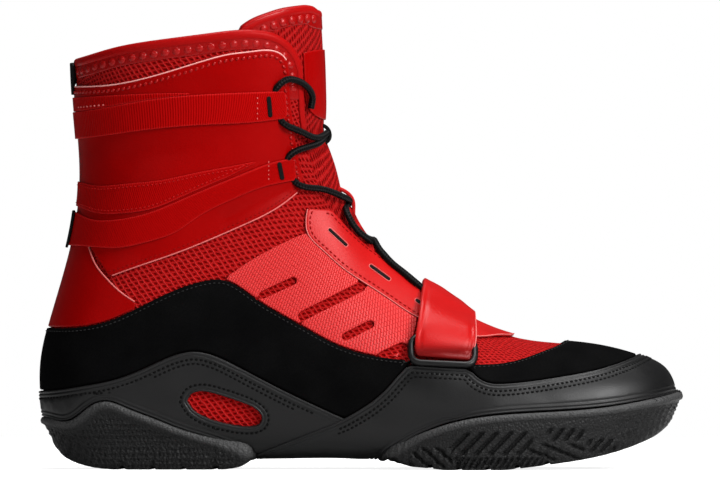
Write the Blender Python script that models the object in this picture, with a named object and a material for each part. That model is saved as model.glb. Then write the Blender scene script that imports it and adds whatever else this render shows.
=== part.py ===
"""Right boxing shoe: high strapped shaft, split rubber sole and an instep strap.

Sizes are in millimetres. +X points to the toe, +Y to the inner side of the foot and +Z up.
The shoe stands on Z = 0. Every panel is cut from the same last, at its own distance from it.
"""
import bmesh
import bpy
import numpy as np
from mathutils import Matrix

# Driving dimensions, and the sizes that the pattern below is drawn for
SHOE_LENGTH = 290.0
BALL_WIDTH = 95.0
COLLAR_HEIGHT = 196.0
PATTERN_LENGTH = 290.0
PATTERN_BALL_WIDTH = 95.0
PATTERN_COLLAR_HEIGHT = 196.0
GRADE = np.array((SHOE_LENGTH / PATTERN_LENGTH, BALL_WIDTH / PATTERN_BALL_WIDTH,
                  COLLAR_HEIGHT / PATTERN_COLLAR_HEIGHT))

MILLIMETRE = 0.001
CLEAR = 0.3             # gap between pieces that lie against each other
EDGE_GAP = 0.5          # gap between neighbouring panels, measured upwards
AROUND = 16             # points round one section of the last
HALF_DEPTH = 90.0       # reach of a through cut to either side
TUBE_ROUNDNESS = 1      # bevel steps of a lace or wire
WELD = 0.000001         # metres within which two points of a mesh are one
SHARP_EDGE = 35.0       # degrees from which an edge is shown sharp
SIDE_SEARCH = (320, 160)   # places along and around tried for a point on the outer side
SIDE_LOWEST = -0.9      # lowest of them round the section, in radians

# Distance of each layer from the outer face of the upper: inner face, outer face
UPPER_WALL = (-1.8, 0.0)
TONGUE = (-6.0, -2.1)
TONGUE_PATCH = (-1.8, -1.0)
INSOLE_OUTER = -2.1
LEATHER = (CLEAR, 1.3)
SUEDE = (CLEAR, 1.5)
RAND = (CLEAR, 2.0)
STRIP = (1.6, 2.1)
WEBBING = (1.6, 2.5)
PULL_TAB = (1.6, 2.5)
KEEPER = (2.8, 3.5)

# Rubber pods
LIP_HEIGHT = 3.6        # raised lip along a pod's top edge
LIP_STEP = 0.9          # how far the lip stands out past the side below it
FOREFOOT_SIDE = 4.8
HEEL_SIDE = 2.9
FLAT_FROM = 0.45        # downward slope at which the side starts to run into the tread
FLAT_AT = 0.85          # downward slope at which it has become the tread
LUG_GROOVE_DEPTH = 1.6
LUG_GROOVE_WIDTH = 2.4
LUG_CHEVRON = 9.0       # how far a groove's middle lies ahead of its ends
FOREFOOT_GROOVES = (28.0, 41.0, 54.0, 67.0, 80.0)
HEEL_GROOVES = (-112.0, -98.0, -84.0, -70.0)

FLOOR_MARGIN = 13.0     # lasting margin left round the hole under the foot
FLOOR_HOLE = (-118.0, 100.0)
FLOOR_CUT = (-10.0, 16.0)  # heights that the hole runs between
QUARTER_UNDER = (-60.0, 17.0)   # stretch of the suede's edge below a quarter
QUARTER_BESIDE = (-21.0, 27.0)  # stretch of the eyestay's edge along it
QUARTER_PARTING = 1.0   # half gap between outer and inner quarter
PULL_TAB_HALF_WIDTH = 7.0
KEEPER_HALF_WIDTH = 8.0

# Instep strap and its ring
STRAP_THICK = 2.0
STRAP_BASE = 2.4        # strap's inner face above the last, at the ridge
STRAP_OVER_RING = 5.9   # the same over the ring
STRAP_INNER_END = 1.9   # the same at its sewn end
STRAP_LIFT = (12.0, 32.0)  # distances from the middle line between which it changes
RING_WIRE = 2.6
RING_SIZE = (28.8, 11.5)
RING_CORNER = 4.0
RING_CENTRE = (37.1, 53.4)
RING_RISE = 3.3         # wire's middle above the last
RING_TILT = -0.05

LACE = 3.2
LACE_OVER = 0.5         # how far a crossing lace is lifted, and the one under it sunk

# The last, a row for each section from toe to collar. A section runs from its low point to its
# top point, and is widest at the share 'widest' of that run; squareness 2 is an ellipse.
#   low_x low_z top_x top_z centre_y outer inner widest low_square top_square
SECTIONS = {
    "toe tip": (140.3, 34.0, 140.3, 34.0, 9.0, 0.0, 0.0, 0.50, 2.2, 2.2),
    "toe dome": (138.9, 28.0, 138.9, 40.0, 8.7, 11.5, 11.5, 0.47, 2.3, 2.2),
    "toe curve": (135.6, 23.6, 135.6, 44.6, 8.2, 21.0, 20.5, 0.44, 2.4, 2.1),
    "toe cap": (128.0, 19.3, 128.2, 48.6, 7.4, 31.0, 29.5, 0.40, 2.7, 2.1),
    "toe box": (112.0, 13.9, 112.8, 53.3, 5.5, 40.0, 37.5, 0.35, 3.1, 2.05),
    "toe joints": (95.0, 10.6, 97.0, 55.8, 3.5, 44.5, 42.0, 0.32, 3.4, 2.0),
    "ball front": (76.0, 8.3, 80.0, 57.4, 1.5, 47.0, 45.0, 0.30, 3.6, 1.95),
    "ball": (56.0, 6.6, 63.0, 61.4, 0.0, 48.5, 46.5, 0.29, 3.7, 1.9),
    "vamp": (35.0, 6.5, 45.5, 69.5, 0.0, 47.5, 42.5, 0.28, 3.7, 1.85),
    "waist front": (13.5, 6.1, 29.0, 80.8, 0.0, 44.5, 38.0, 0.28, 3.6, 1.85),
    "waist": (-8.0, 7.2, 15.0, 91.4, 0.0, 41.0, 35.0, 0.28, 3.5, 1.9),
    "waist back": (-31.5, 7.1, 4.5, 101.9, 0.0, 38.0, 33.5, 0.30, 3.4, 1.95),
    "instep": (-56.0, 6.8, -2.5, 112.7, 0.0, 36.0, 33.5, 0.33, 3.6, 2.0),
    "heel front": (-83.0, 6.5, -5.9, 122.6, 0.0, 35.0, 33.8, 0.34, 4.2, 2.0),
    "heel": (-108.0, 6.6, -7.8, 130.7, 0.0, 34.5, 34.0, 0.36, 4.2, 2.0),
    "heel edge": (-127.5, 8.6, -9.6, 137.5, 0.0, 34.5, 34.2, 0.38, 3.7, 2.0),
    "heel back": (-138.0, 16.6, -11.6, 143.3, 0.0, 34.7, 34.5, 0.41, 3.1, 2.0),
    "heel curve": (-142.2, 31.7, -13.6, 148.7, 0.0, 35.0, 34.8, 0.44, 2.7, 2.0),
    "counter": (-142.3, 48.8, -14.4, 153.7, 0.0, 35.4, 35.2, 0.46, 2.4, 2.0),
    "tendon": (-138.3, 66.8, -14.2, 159.0, 0.0, 36.0, 35.8, 0.47, 2.3, 2.0),
    "ankle": (-127.6, 106.4, -14.2, 171.2, 0.0, 37.0, 37.0, 0.49, 2.2, 2.0),
    "shaft low": (-125.1, 126.2, -14.4, 178.4, 0.0, 37.5, 37.5, 0.50, 2.1, 2.0),
    "shaft high": (-127.4, 168.0, -15.3, 197.3, 0.0, 39.2, 39.2, 0.50, 2.1, 2.0),
    "collar": (-128.3, 188.0, -15.8, 206.8, 0.0, 40.2, 40.2, 0.50, 2.1, 2.0),
    "above collar": (-128.8, 206.0, -16.0, 216.0, 0.0, 41.0, 41.0, 0.50, 2.1, 2.0),
}

# Pattern lines as seen from the side: x, z along each edge
LINES = {
    "collar": ((-150.0, 180.0), (-129.6, 183.2), (-111.0, 188.3), (-90.0, 191.9), (-67.5, 194.8),
               (-48.6, 196.4), (-40.0, 195.3), (-34.0, 192.5), (-29.0, 187.0), (-26.0, 179.0)),
    "throat": ((-25.2, 161.0), (-22.9, 143.3), (-18.9, 127.6), (-13.5, 116.8), (-8.7, 112.3), (-0.6, 104.3),
               (7.4, 97.6), (15.4, 91.2), (27.4, 81.0), (40.5, 71.6), (50.0, 66.6), (54.0, 67.5)),
    "tongue top": ((-54.0, 197.0), (-48.0, 201.0), (-40.0, 204.2), (-32.9, 206.3), (-25.7, 207.4),
                   (-21.0, 207.3), (-18.6, 205.6)),
    "tongue edge": ((59.4, 55.6), (40.5, 62.3), (18.0, 75.8), (-3.6, 92.9), (-21.6, 111.8), (-35.1, 136.6),
                    (-46.0, 165.8)),
    "footbed": ((-150.0, 14.5), (-40.0, 14.0), (30.0, 12.5), (62.0, 13.0), (92.0, 17.0), (112.0, 21.5),
                (126.0, 27.0), (145.0, 36.0)),
    "suede rear": ((-150.0, 64.0), (-133.0, 63.5), (-117.0, 65.5), (-99.0, 72.9), (-77.4, 82.6),
                   (-68.0, 85.0), (-62.3, 85.3), (-57.0, 83.6), (-48.1, 77.6), (-25.3, 64.1),
                   (-11.2, 56.5), (0.0, 52.6), (20.0, 49.5), (36.0, 48.4)),
    "suede front": ((52.2, 47.6), (60.5, 47.8), (68.3, 48.9), (76.0, 51.1), (84.0, 54.0), (89.5, 56.2),
                    (93.0, 58.6), (95.5, 62.0)),
    "rand top": ((130.0, 53.6), (124.2, 51.0), (109.8, 45.9), (94.3, 42.6), (73.7, 39.6), (63.3, 38.8),
                 (57.1, 39.4), (53.1, 41.4), (49.4, 45.2)),
    "rand tab": ((46.0, 45.6), (21.5, 47.2)),
    "rand rear edge": ((16.0, 41.4), (11.7, 36.4), (1.4, 28.1), (-8.0, 22.6)),
    "rand tail": ((-13.0, 20.4), (-27.0, 14.7), (-47.0, 6.2)),
    "rand rear top": ((-150.0, 34.8), (-140.8, 35.2), (-124.8, 37.4), (-110.7, 40.2), (-95.4, 46.0),
                      (-82.4, 51.6), (-73.8, 53.0), (-65.2, 51.1), (-53.8, 45.7), (-34.8, 35.8),
                      (-8.5, 23.5)),
    "forefoot pod": ((7.0, 3.4), (11.2, 6.5), (18.0, 11.0), (24.8, 14.9), (31.5, 17.9), (38.2, 20.4),
                     (45.0, 22.2), (58.5, 24.4), (78.8, 25.9), (99.0, 27.0), (112.5, 28.3), (126.0, 30.4),
                     (139.5, 33.0), (150.0, 35.5)),
    "heel pod": ((-46.5, 4.2), (-51.8, 8.1), (-58.5, 11.0), (-72.0, 15.4), (-78.8, 17.4), (-92.2, 22.7),
                 (-105.8, 28.0), (-112.5, 30.4), (-118.0, 30.0), (-124.7, 25.8), (-132.3, 21.4),
                 (-139.5, 22.6), (-150.0, 23.0)),
    "tread": ((-146.0, 22.0), (-139.5, 12.8), (-133.5, 6.0), (-126.0, 2.4), (-117.0, 0.5), (-110.0, 0.0),
              (64.0, 0.0), (81.0, 1.9), (99.0, 4.4), (117.0, 8.6), (126.0, 11.8), (135.0, 16.4),
              (144.0, 25.5)),
    "panel top": ((-150.0, 172.0), (-128.9, 171.8), (-115.7, 172.1), (-100.0, 174.6), (-69.0, 183.6),
                  (-58.7, 186.2), (-48.4, 187.5), (-38.0, 187.6), (-34.2, 185.4), (-32.0, 181.0),
                  (-31.4, 172.6), (-29.4, 152.3), (-27.2, 138.0), (-25.2, 129.5)),
    "panel low": ((-27.0, 125.3), (-34.8, 119.0), (-53.8, 109.1), (-82.4, 97.2), (-101.2, 90.7),
                  (-112.6, 86.6)),
    "counter front": ((-121.8, 99.9), (-119.9, 94.4), (-117.5, 90.2), (-114.1, 86.2), (-108.9, 81.0),
                      (-99.5, 74.4)),
    "quarter top": ((-60.6, 85.9), (-49.1, 93.8), (-36.0, 101.0), (-24.4, 106.2)),
    "eyestay low": ((-23.5, 117.2), (-23.5, 106.3), (-16.7, 98.6), (-8.7, 91.4), (7.4, 80.6), (15.4, 75.2),
                    (25.1, 69.0), (38.2, 64.3), (54.0, 62.0), (64.0, 61.6), (67.0, 66.0)),
    "eyestay top": ((-12.5, 116.6), (-8.2, 111.6), (-0.2, 103.6), (7.8, 96.9), (15.8, 90.5), (27.8, 80.3),
                    (40.5, 71.0), (50.0, 66.0), (56.0, 66.8)),
    "webbing upper top": ((-150.0, 160.0), (-129.8, 160.3), (-115.7, 162.2), (-95.0, 165.8), (-79.3, 167.6),
                          (-58.7, 168.8), (-33.2, 169.7)),
    "webbing upper low": ((-32.4, 157.6), (-48.4, 155.6), (-69.0, 154.6), (-89.7, 153.0), (-110.3, 150.4),
                          (-127.4, 148.3), (-150.0, 147.5)),
    "strip upper top": ((-150.0, 166.8), (-129.5, 166.9), (-110.3, 167.9), (-89.7, 168.7), (-72.0, 168.9)),
    "webbing lower top": ((-150.0, 116.5), (-128.9, 115.7), (-122.9, 112.9), (-110.3, 112.1), (-95.0, 115.2),
                          (-79.3, 121.5), (-48.4, 134.3), (-38.0, 138.0), (-29.2, 139.6)),
    "webbing lower low": ((-28.4, 129.8), (-43.2, 126.7), (-58.7, 120.4), (-72.1, 113.6), (-82.4, 106.6),
                          (-96.4, 101.9), (-108.9, 99.5), (-120.2, 100.0), (-150.0, 101.0)),
    "strip lower top": ((-150.0, 129.4), (-127.1, 129.2), (-120.7, 127.7), (-105.3, 128.2), (-89.7, 129.8),
                        (-74.2, 133.0), (-58.7, 135.9), (-45.0, 138.5)),
    "strip lower low": ((-60.0, 130.4), (-79.2, 122.2), (-94.0, 116.3), (-105.3, 114.6), (-120.7, 115.2),
                        (-127.0, 117.5), (-150.0, 118.2)),
    "strap back edge": ((31.0, 100.0), (29.0, 84.8), (26.1, 66.3), (24.9, 53.6)),
    "strap front edge": ((50.2, 51.6), (51.6, 56.0), (52.2, 63.0), (51.8, 72.0), (50.6, 90.0)),
    "oval window": ((-77.4, 30.8), (-75.6, 34.0), (-71.6, 35.2), (-65.2, 34.2), (-52.0, 29.8), (-46.0, 26.6),
                    (-44.0, 23.2), (-45.2, 20.4), (-49.0, 19.1), (-58.5, 20.2), (-72.0, 25.0), (-76.0, 27.8)),
    "tongue patch": ((-25.2, 187.0), (-10.0, 187.0), (-10.0, 157.0), (-19.0, 158.2), (-22.6, 161.6),
                     (-24.4, 168.0)),
}

# Vents of the quarters: middle x, middle z, length, width, slope in degrees
VENT_COLUMNS = ("x", "z", "length", "width", "slope")
QUARTER_VENTS = (
    (-36.5, 81.8, 17.0, 2.6, 25.0),
    (-12.2, 75.8, 32.0, 3.2, 26.5),
    (-0.5, 62.8, 14.5, 2.6, 27.0),
)

# Lace routes as seen from the side, outer side first: x, z, rise above the last
LACE_ARC = ((-36.4, 171.9, 3.6), (-33.5, 174.6, 3.8), (-28.5, 174.6, 3.2), (-24.0, 172.0, 2.2),
            (-21.3, 167.0, 1.4), (-22.0, 162.0, 0.6))
LACE_UPPER = ((-34.6, 154.9, 3.2), (-28.0, 152.3, 2.9), (-20.5, 149.0, 2.5))
LACE_MIDDLE = ((-31.0, 142.2, 3.2), (-26.0, 144.0, 2.9), (-19.5, 146.0, 2.5))
LACE_CROSSING = (-12.6, 151.0)
LACE_LOOP_LOW = ((-26.4, 126.9, 3.2), (-18.0, 126.0, 2.8), (-9.5, 123.2, 2.5))
LACE_KNUCKLE = (-4.6, 119.6)
LACE_EYESTAY = ((-7.4, 114.6, 3.6), (-4.0, 109.2, 4.0), (-0.8, 105.6, 4.4), (3.4, 103.2, 5.0))
LACE_KNUCKLE_LOW = (8.8, 102.0)
LACE_TAIL = ((12.6, 97.0, 5.0), (16.6, 92.2, 4.2), (20.4, 88.6, 4.0), (25.4, 84.6, 3.6))

# Loops on the tongue that hold the crossed laces, as seen from the side: x, z
LOOP_THICK = 0.9
LOOP_WIDTH = 8.0
TONGUE_LOOPS = {
    "tongue_loop_upper": ((-14.0, 156.2), (-11.6, 154.8), (-9.6, 151.4), (-10.0, 147.4), (-12.6, 143.4)),
    "tongue_loop_lower": ((-8.4, 127.0), (-3.2, 124.2), (-0.2, 120.0), (-0.2, 115.4), (0.4, 110.6)),
}

# Colours from the photograph, with roughness
FINISHES = {
    "mesh red": ((0.36, 0.010, 0.012), 0.75),
    "leather red": ((0.38, 0.004, 0.006), 0.38),
    "embossed red": ((0.52, 0.020, 0.022), 0.42),
    "webbing red": ((0.42, 0.006, 0.008), 0.60),
    "suede black": ((0.006, 0.006, 0.006), 0.95),
    "rand black": ((0.018, 0.018, 0.019), 0.45),
    "rubber black": ((0.014, 0.014, 0.015), 0.60),
    "cord black": ((0.008, 0.008, 0.009), 0.80),
    "wire black": ((0.012, 0.012, 0.013), 0.40),
    "footbed black": ((0.012, 0.012, 0.013), 0.90),
}


def clear_scene():
    for item in list(bpy.data.objects):
        bpy.data.objects.remove(item, do_unlink=True)


def make_collection(name):
    collection = bpy.data.collections.new(name)
    bpy.context.scene.collection.children.link(collection)
    return collection


def make_material(name):
    colour, roughness = FINISHES[name]
    material = bpy.data.materials.new(name)
    material.use_nodes = True
    shader = material.node_tree.nodes["Principled BSDF"]
    shader.inputs["Base Color"].default_value = (*colour, 1.0)
    shader.inputs["Roughness"].default_value = roughness
    return material


def smooth_rows(knots, rows, places):
    """A natural cubic curve through the rows, read at the given places."""
    steps = np.diff(knots)
    slopes = np.diff(rows, axis=0) / steps[:, None]
    system = np.eye(len(knots))
    turns = np.zeros_like(rows)
    for i in range(1, len(knots) - 1):
        system[i, i - 1:i + 2] = steps[i - 1], 2 * (steps[i - 1] + steps[i]), steps[i]
        turns[i] = 6 * (slopes[i] - slopes[i - 1])
    bends = np.linalg.solve(system, turns)
    span = np.clip(np.searchsorted(knots, places, side="right") - 1, 0, len(steps) - 1)
    length = steps[span][:, None]
    ahead = (np.asarray(places) - knots[span])[:, None] / length
    back = 1 - ahead
    curve = (back ** 3 - back) * bends[span] + (ahead ** 3 - ahead) * bends[span + 1]
    return back * rows[span] + ahead * rows[span + 1] + curve * length ** 2 / 6


def last_rows():
    """The section table with two mirrored rows ahead of the toe, so that the toe closes round."""
    rows = np.array(list(SECTIONS.values()))
    scale = np.array((GRADE[0], GRADE[2], GRADE[0], GRADE[2], GRADE[1], GRADE[1], GRADE[1], 1.0, 1.0, 1.0))
    rows = rows * scale
    mirrored = rows[[2, 1]][:, [2, 3, 0, 1, 4, 5, 6, 7, 9, 8]]
    mirrored[:, 5:7] *= -1
    mirrored[:, 7] = 1 - mirrored[:, 7]
    rows = np.vstack((mirrored, rows))
    moves = np.linalg.norm(np.diff(rows[:, :7], axis=0), axis=1) / np.sqrt(2.0)
    knots = np.concatenate(([0.0], np.cumsum(moves)))
    return knots - knots[2], rows


KNOTS, ROWS = last_rows()
RINGS = np.count_nonzero(KNOTS > 0)


def last_face(along, around):
    """Points on the upper's outer face; around is 0 underneath and pi on top, below 0 outside."""
    low_x, low_z, top_x, top_z, centre, outer, inner, widest, low_square, top_square = (
        smooth_rows(KNOTS, ROWS, along).T)
    upper_half = np.cos(around) < 0
    power = 2.0 / np.where(upper_half, top_square, low_square)
    level = np.abs(np.cos(around)) ** power
    share = np.where(upper_half, widest + (1 - widest) * level, widest * (1 - level))
    reach = np.where(around < 0, -outer, inner) * np.abs(np.sin(around)) ** power
    x = low_x + (top_x - low_x) * share
    z = low_z + (top_z - low_z) * share
    return np.stack((x, centre + reach, z), axis=-1)


def last_normals(along, around, step=0.01):
    """Outward directions of the face, from points a small step to either side."""
    forward = last_face(along + step, around) - last_face(along - step, around)
    sideways = last_face(along, around + step) - last_face(along, around - step)
    normals = np.cross(forward, sideways)
    return normals / np.linalg.norm(normals, axis=1, keepdims=True)


def form_points(offset, drop=None):
    """The toe point, the rings and the collar's middle of the last, moved out by the offset."""
    angles = -np.pi + 2 * np.pi * np.arange(AROUND) / AROUND
    along = np.repeat(KNOTS[KNOTS > 0], AROUND)
    around = np.tile(angles, RINGS)
    points = last_face(along, around)
    normals = last_normals(along, around)
    distance = offset(points, normals) if callable(offset) else offset * np.ones(len(points))
    moved = points + normals * distance[:, None]
    if drop:
        moved[:, 2] = drop(moved, normals)
    tip = last_face(np.zeros(1), np.zeros(1))[0]
    tip_normal = normals[:AROUND].mean(axis=0)
    tip = tip + tip_normal / np.linalg.norm(tip_normal) * distance[:AROUND].mean()
    return np.vstack((tip, moved, moved[-AROUND:].mean(axis=0)))


def form_faces():
    """Triangles of the last's grid, split the same way on every form."""
    faces = []
    last_ring = (RINGS - 1) * AROUND
    for i in range(AROUND):
        j = (i + 1) % AROUND
        faces.append((0, 1 + i, 1 + j))
        faces.append((1 + last_ring + j, 1 + last_ring + i, 1 + RINGS * AROUND))
        for ring in range(RINGS - 1):
            here = 1 + ring * AROUND
            after = here + AROUND
            faces.append((here + i, after + i, after + j))
            faces.append((here + i, after + j, here + j))
    return faces


def mesh_object(name, points, faces, collection):
    mesh = bpy.data.meshes.new(name)
    mesh.from_pydata([tuple(point) for point in np.asarray(points) * MILLIMETRE], [], faces)
    mesh.update()
    item = bpy.data.objects.new(name, mesh)
    collection.objects.link(item)
    return item


def hide_cutter(item):
    item.hide_render = True
    item.display_type = 'WIRE'
    return item


def form_object(name, offset, collection, drop=None):
    item = mesh_object(name, form_points(offset, drop), form_faces(), collection)
    shell = bmesh.new()
    shell.from_mesh(item.data)
    bmesh.ops.recalc_face_normals(shell, faces=shell.faces)
    shell.to_mesh(item.data)
    shell.free()
    return item


def line(name, rise=0.0):
    """A pattern line, graded to size and lifted by the rise."""
    return np.array(LINES[name]) * GRADE[[0, 2]] + np.array((0.0, rise))


def corner(x, z):
    """A pattern point beyond the shoe that closes an outline."""
    return np.array(((x, z),)) * GRADE[[0, 2]]


def outline_prism(name, outline, depth=(-HALF_DEPTH, HALF_DEPTH)):
    """A side-view outline carried through the shoe between two distances from its middle."""
    curve = bpy.data.curves.new(name, 'CURVE')
    curve.dimensions = '2D'
    curve.fill_mode = 'BOTH'
    curve.extrude = (depth[1] - depth[0]) / 2 * MILLIMETRE
    spline = curve.splines.new('POLY')
    spline.points.add(len(outline) - 1)
    for point, (x, z) in zip(spline.points, outline):
        point.co = (x * MILLIMETRE, z * MILLIMETRE, 0.0, 1.0)
    spline.use_cyclic_u = True
    guide = bpy.data.objects.new(name, curve)
    guide.matrix_world = (Matrix.Translation((0.0, (depth[0] + depth[1]) / 2 * MILLIMETRE, 0.0))
                          @ Matrix.Rotation(np.pi / 2, 4, 'X'))
    CUTTERS.objects.link(guide)
    return hide_cutter(curve_to_mesh(guide, CUTTERS))


def plan_prism(name, outline, bottom, top):
    """A plan outline carried up between two heights."""
    prism = outline_prism(name, outline, (bottom, top))
    prism.matrix_world = Matrix.Translation((0.0, 0.0, (bottom + top) / 2 * MILLIMETRE))
    return prism


def curve_to_mesh(guide, collection):
    """A curve object turned into a closed mesh object of the same name."""
    bpy.context.view_layer.update()
    evaluated = guide.evaluated_get(bpy.context.evaluated_depsgraph_get())
    mesh = bpy.data.meshes.new_from_object(evaluated)
    body = bmesh.new()
    body.from_mesh(mesh)
    bmesh.ops.remove_doubles(body, verts=body.verts, dist=WELD)
    bmesh.ops.recalc_face_normals(body, faces=body.faces)
    body.to_mesh(mesh)
    body.free()
    name = guide.name
    place = guide.matrix_world.copy()
    bpy.data.objects.remove(guide, do_unlink=True)
    item = bpy.data.objects.new(name, mesh)
    item.matrix_world = place
    collection.objects.link(item)
    return item


def boolean(item, operation, other):
    modifier = item.modifiers.new(other.name, 'BOOLEAN')
    modifier.operation = operation
    modifier.solver = 'EXACT'
    modifier.object = other


def finish(item, material):
    item.data.materials.clear()
    item.data.materials.append(MATERIALS[material])
    item.data.shade_smooth()
    item.data.set_sharp_from_angle(angle=np.radians(SHARP_EDGE))
    return item


def form_cutter(offset, label):
    """The last at one offset, made once and shared by the pieces that it cuts."""
    name = "form_" + label
    existing = bpy.data.objects.get(name)
    return existing or hide_cutter(form_object(name, offset, CUTTERS))


def layer_label(offset):
    return f"{offset:+.1f}".replace("+", "out_").replace("-", "in_")


def panel(name, layer, outline, material, depth=(-HALF_DEPTH, HALF_DEPTH), holes=()):
    """A piece of one layer over the last, inside an outline and outside its holes."""
    inner, outer = layer
    item = form_object(name, outer, PARTS)
    boolean(item, 'INTERSECT', outline_prism(name + "_outline", outline, depth))
    boolean(item, 'DIFFERENCE', form_cutter(inner, layer_label(inner)))
    for number, hole in enumerate(holes):
        boolean(item, 'DIFFERENCE', outline_prism(f"{name}_hole_{number}", hole, depth))
    return finish(item, material)


def vent_outline(vent):
    """A long slot with half-round ends."""
    size = dict(zip(VENT_COLUMNS, vent))
    radius = size["width"] / 2
    half_run = size["length"] / 2 - radius
    slope = np.radians(size["slope"])
    points = []
    for end in (1, -1):
        for turn in np.radians((-90, -30, 30, 90)):
            x = end * (half_run + radius * np.cos(turn))
            z = end * radius * np.sin(turn)
            points.append((size["x"] + x * np.cos(slope) - z * np.sin(slope),
                           size["z"] + x * np.sin(slope) + z * np.cos(slope)))
    return np.array(points) * GRADE[[0, 2]]


def mouth_outline():
    """Everything above the collar and in front of the throat."""
    return np.vstack((line("collar"), line("throat"), corner(70, 90), corner(70, 260), corner(-150, 260)))


def floor_hole():
    """Plan of the opening under the foot: the last's widest lines less the lasting margin."""
    outer_edge = []
    inner_edge = []
    for low_x, _, _, _, centre, outer, inner, _, _, _ in SECTIONS.values():
        if FLOOR_HOLE[0] < low_x < FLOOR_HOLE[1] and inner > 0:
            outer_edge.append((low_x, centre - outer + FLOOR_MARGIN))
            inner_edge.append((low_x, centre + inner - FLOOR_MARGIN))
    return np.array(outer_edge + inner_edge[::-1]) * GRADE[[0, 1]]


def between(edge, span):
    """The points of an edge whose x lies in a span of the pattern."""
    x = edge[:, 0] / GRADE[0]
    return edge[(x > span[0]) & (x < span[1])]


def build_upper():
    inner, outer = UPPER_WALL
    item = form_object("upper", outer, PARTS)
    boolean(item, 'DIFFERENCE', form_cutter(inner, layer_label(inner)))
    boolean(item, 'DIFFERENCE', outline_prism("upper_mouth", mouth_outline()))
    boolean(item, 'DIFFERENCE', plan_prism("upper_floor_hole", floor_hole(), *FLOOR_CUT))
    return finish(item, "mesh red")


def build_tongue():
    front = np.vstack((corner(-5, 203), corner(80, 90), corner(72, 50)))
    outline = np.vstack((line("tongue top"), front, line("tongue edge")))
    panel("tongue", TONGUE, outline, "mesh red")
    panel("tongue_patch", TONGUE_PATCH, line("tongue patch"), "leather red")


def build_tongue_loops():
    """Thin bands that arch over the middle line of the tongue."""
    for name, route in TONGUE_LOOPS.items():
        middle = np.array(route) * GRADE[[0, 2]]
        run = np.gradient(middle, axis=0)
        across = np.stack((-run[:, 1], run[:, 0]), axis=1)
        across = across / np.linalg.norm(across, axis=1, keepdims=True) * LOOP_THICK / 2
        outline = np.vstack((middle + across, (middle - across)[::-1]))
        band = outline_prism(name, outline, (-LOOP_WIDTH / 2, LOOP_WIDTH / 2))
        CUTTERS.objects.unlink(band)
        PARTS.objects.link(band)
        band.hide_render = False
        band.display_type = 'TEXTURED'
        finish(band, "webbing red")


def build_insole():
    item = form_object("insole", INSOLE_OUTER, PARTS)
    outline = np.vstack((line("footbed"), corner(160, -10), corner(-160, -10)))
    boolean(item, 'INTERSECT', outline_prism("insole_outline", outline))
    return finish(item, "footbed black")


def eased(values, start, end):
    """0 before the start, 1 past the end and smooth between."""
    share = np.clip((values - start) / (end - start), 0.0, 1.0)
    return share * share * (3 - 2 * share)


def tread_drop(depth):
    """Carries the underside down to the tread line, or below it by the depth."""
    tread = line("tread")

    def height(points, normals):
        ground = np.interp(points[:, 0], tread[:, 0], tread[:, 1]) - depth
        return points[:, 2] + (ground - points[:, 2]) * eased(-normals[:, 2], FLAT_FROM, FLAT_AT)
    return height


def chevron(name, x):
    """A groove across the underside, its middle ahead of its ends."""
    front = np.array(((x, -HALF_DEPTH), (x + LUG_CHEVRON, 0.0), (x, HALF_DEPTH)))
    back = front[::-1] - np.array((LUG_GROOVE_WIDTH, 0.0))
    return plan_prism(name, np.vstack((front, back)), -LUG_GROOVE_DEPTH, LUG_GROOVE_DEPTH)


def build_pod(name, side, top, closing, grooves):
    """A rubber pod: its lip stands out past the side below, and grooves part its lugs."""
    item = form_object(name, side, PARTS, tread_drop(0.0))
    boolean(item, 'INTERSECT', outline_prism(name + "_outline", np.vstack((top, closing))))
    boolean(item, 'DIFFERENCE', form_cutter(CLEAR, layer_label(CLEAR)))
    below_lip = top - np.array((0.0, LIP_HEIGHT))
    recess = outline_prism(name + "_recess", np.vstack((below_lip, closing - np.array((0.0, LIP_HEIGHT)))))
    side_form = form_object(name + "_side", side - LIP_STEP, CUTTERS, tread_drop(2 * LIP_STEP))
    boolean(recess, 'DIFFERENCE', hide_cutter(side_form))
    boolean(item, 'DIFFERENCE', recess)
    for number, x in enumerate(grooves):
        boolean(item, 'DIFFERENCE', chevron(f"{name}_groove_{number}", x * GRADE[0]))
    return finish(item, "rubber black")


def build_sole():
    forefoot = np.vstack((corner(165, 36), corner(165, -8), corner(50, -8), corner(35, 0.6),
                          corner(7.4, 2.6)))
    build_pod("outsole_forefoot", FOREFOOT_SIDE, line("forefoot pod"), forefoot, FOREFOOT_GROOVES)
    heel = np.vstack((corner(-165, 22), corner(-165, -8), corner(-66, -8), corner(-55, 0.6),
                      corner(-47.5, 2.6)))
    build_pod("outsole_heel", HEEL_SIDE, line("heel pod"), heel, HEEL_GROOVES)


def build_rands():
    front = np.vstack((line("rand top"), line("rand tab"), line("rand rear edge"), line("rand tail"),
                       corner(-43.5, -8), corner(4, -8), line("forefoot pod", EDGE_GAP), corner(165, 37),
                       corner(165, 54)))
    panel("rand_front", RAND, front, "rand black")
    tail = line("rand tail") - np.array((EDGE_GAP, 0.0))
    rear = np.vstack((line("rand rear top"), corner(-9.6, 22.1), tail, line("heel pod", EDGE_GAP)[1:]))
    panel("rand_rear", RAND, rear, "rand black", holes=(line("oval window")[:-1],))


def build_foxing():
    lower_front = np.vstack((line("rand top", EDGE_GAP), line("rand tab", EDGE_GAP)))
    lower_middle = line("rand rear edge") - np.array((EDGE_GAP, 0.0))
    lower_rear = line("rand rear top", EDGE_GAP)[::-1]
    outline = np.vstack((line("suede rear"), line("suede front"), corner(130, 58), lower_front,
                         lower_middle[:-1], lower_rear))
    panel("suede_foxing", SUEDE, outline, "suede black")


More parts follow.
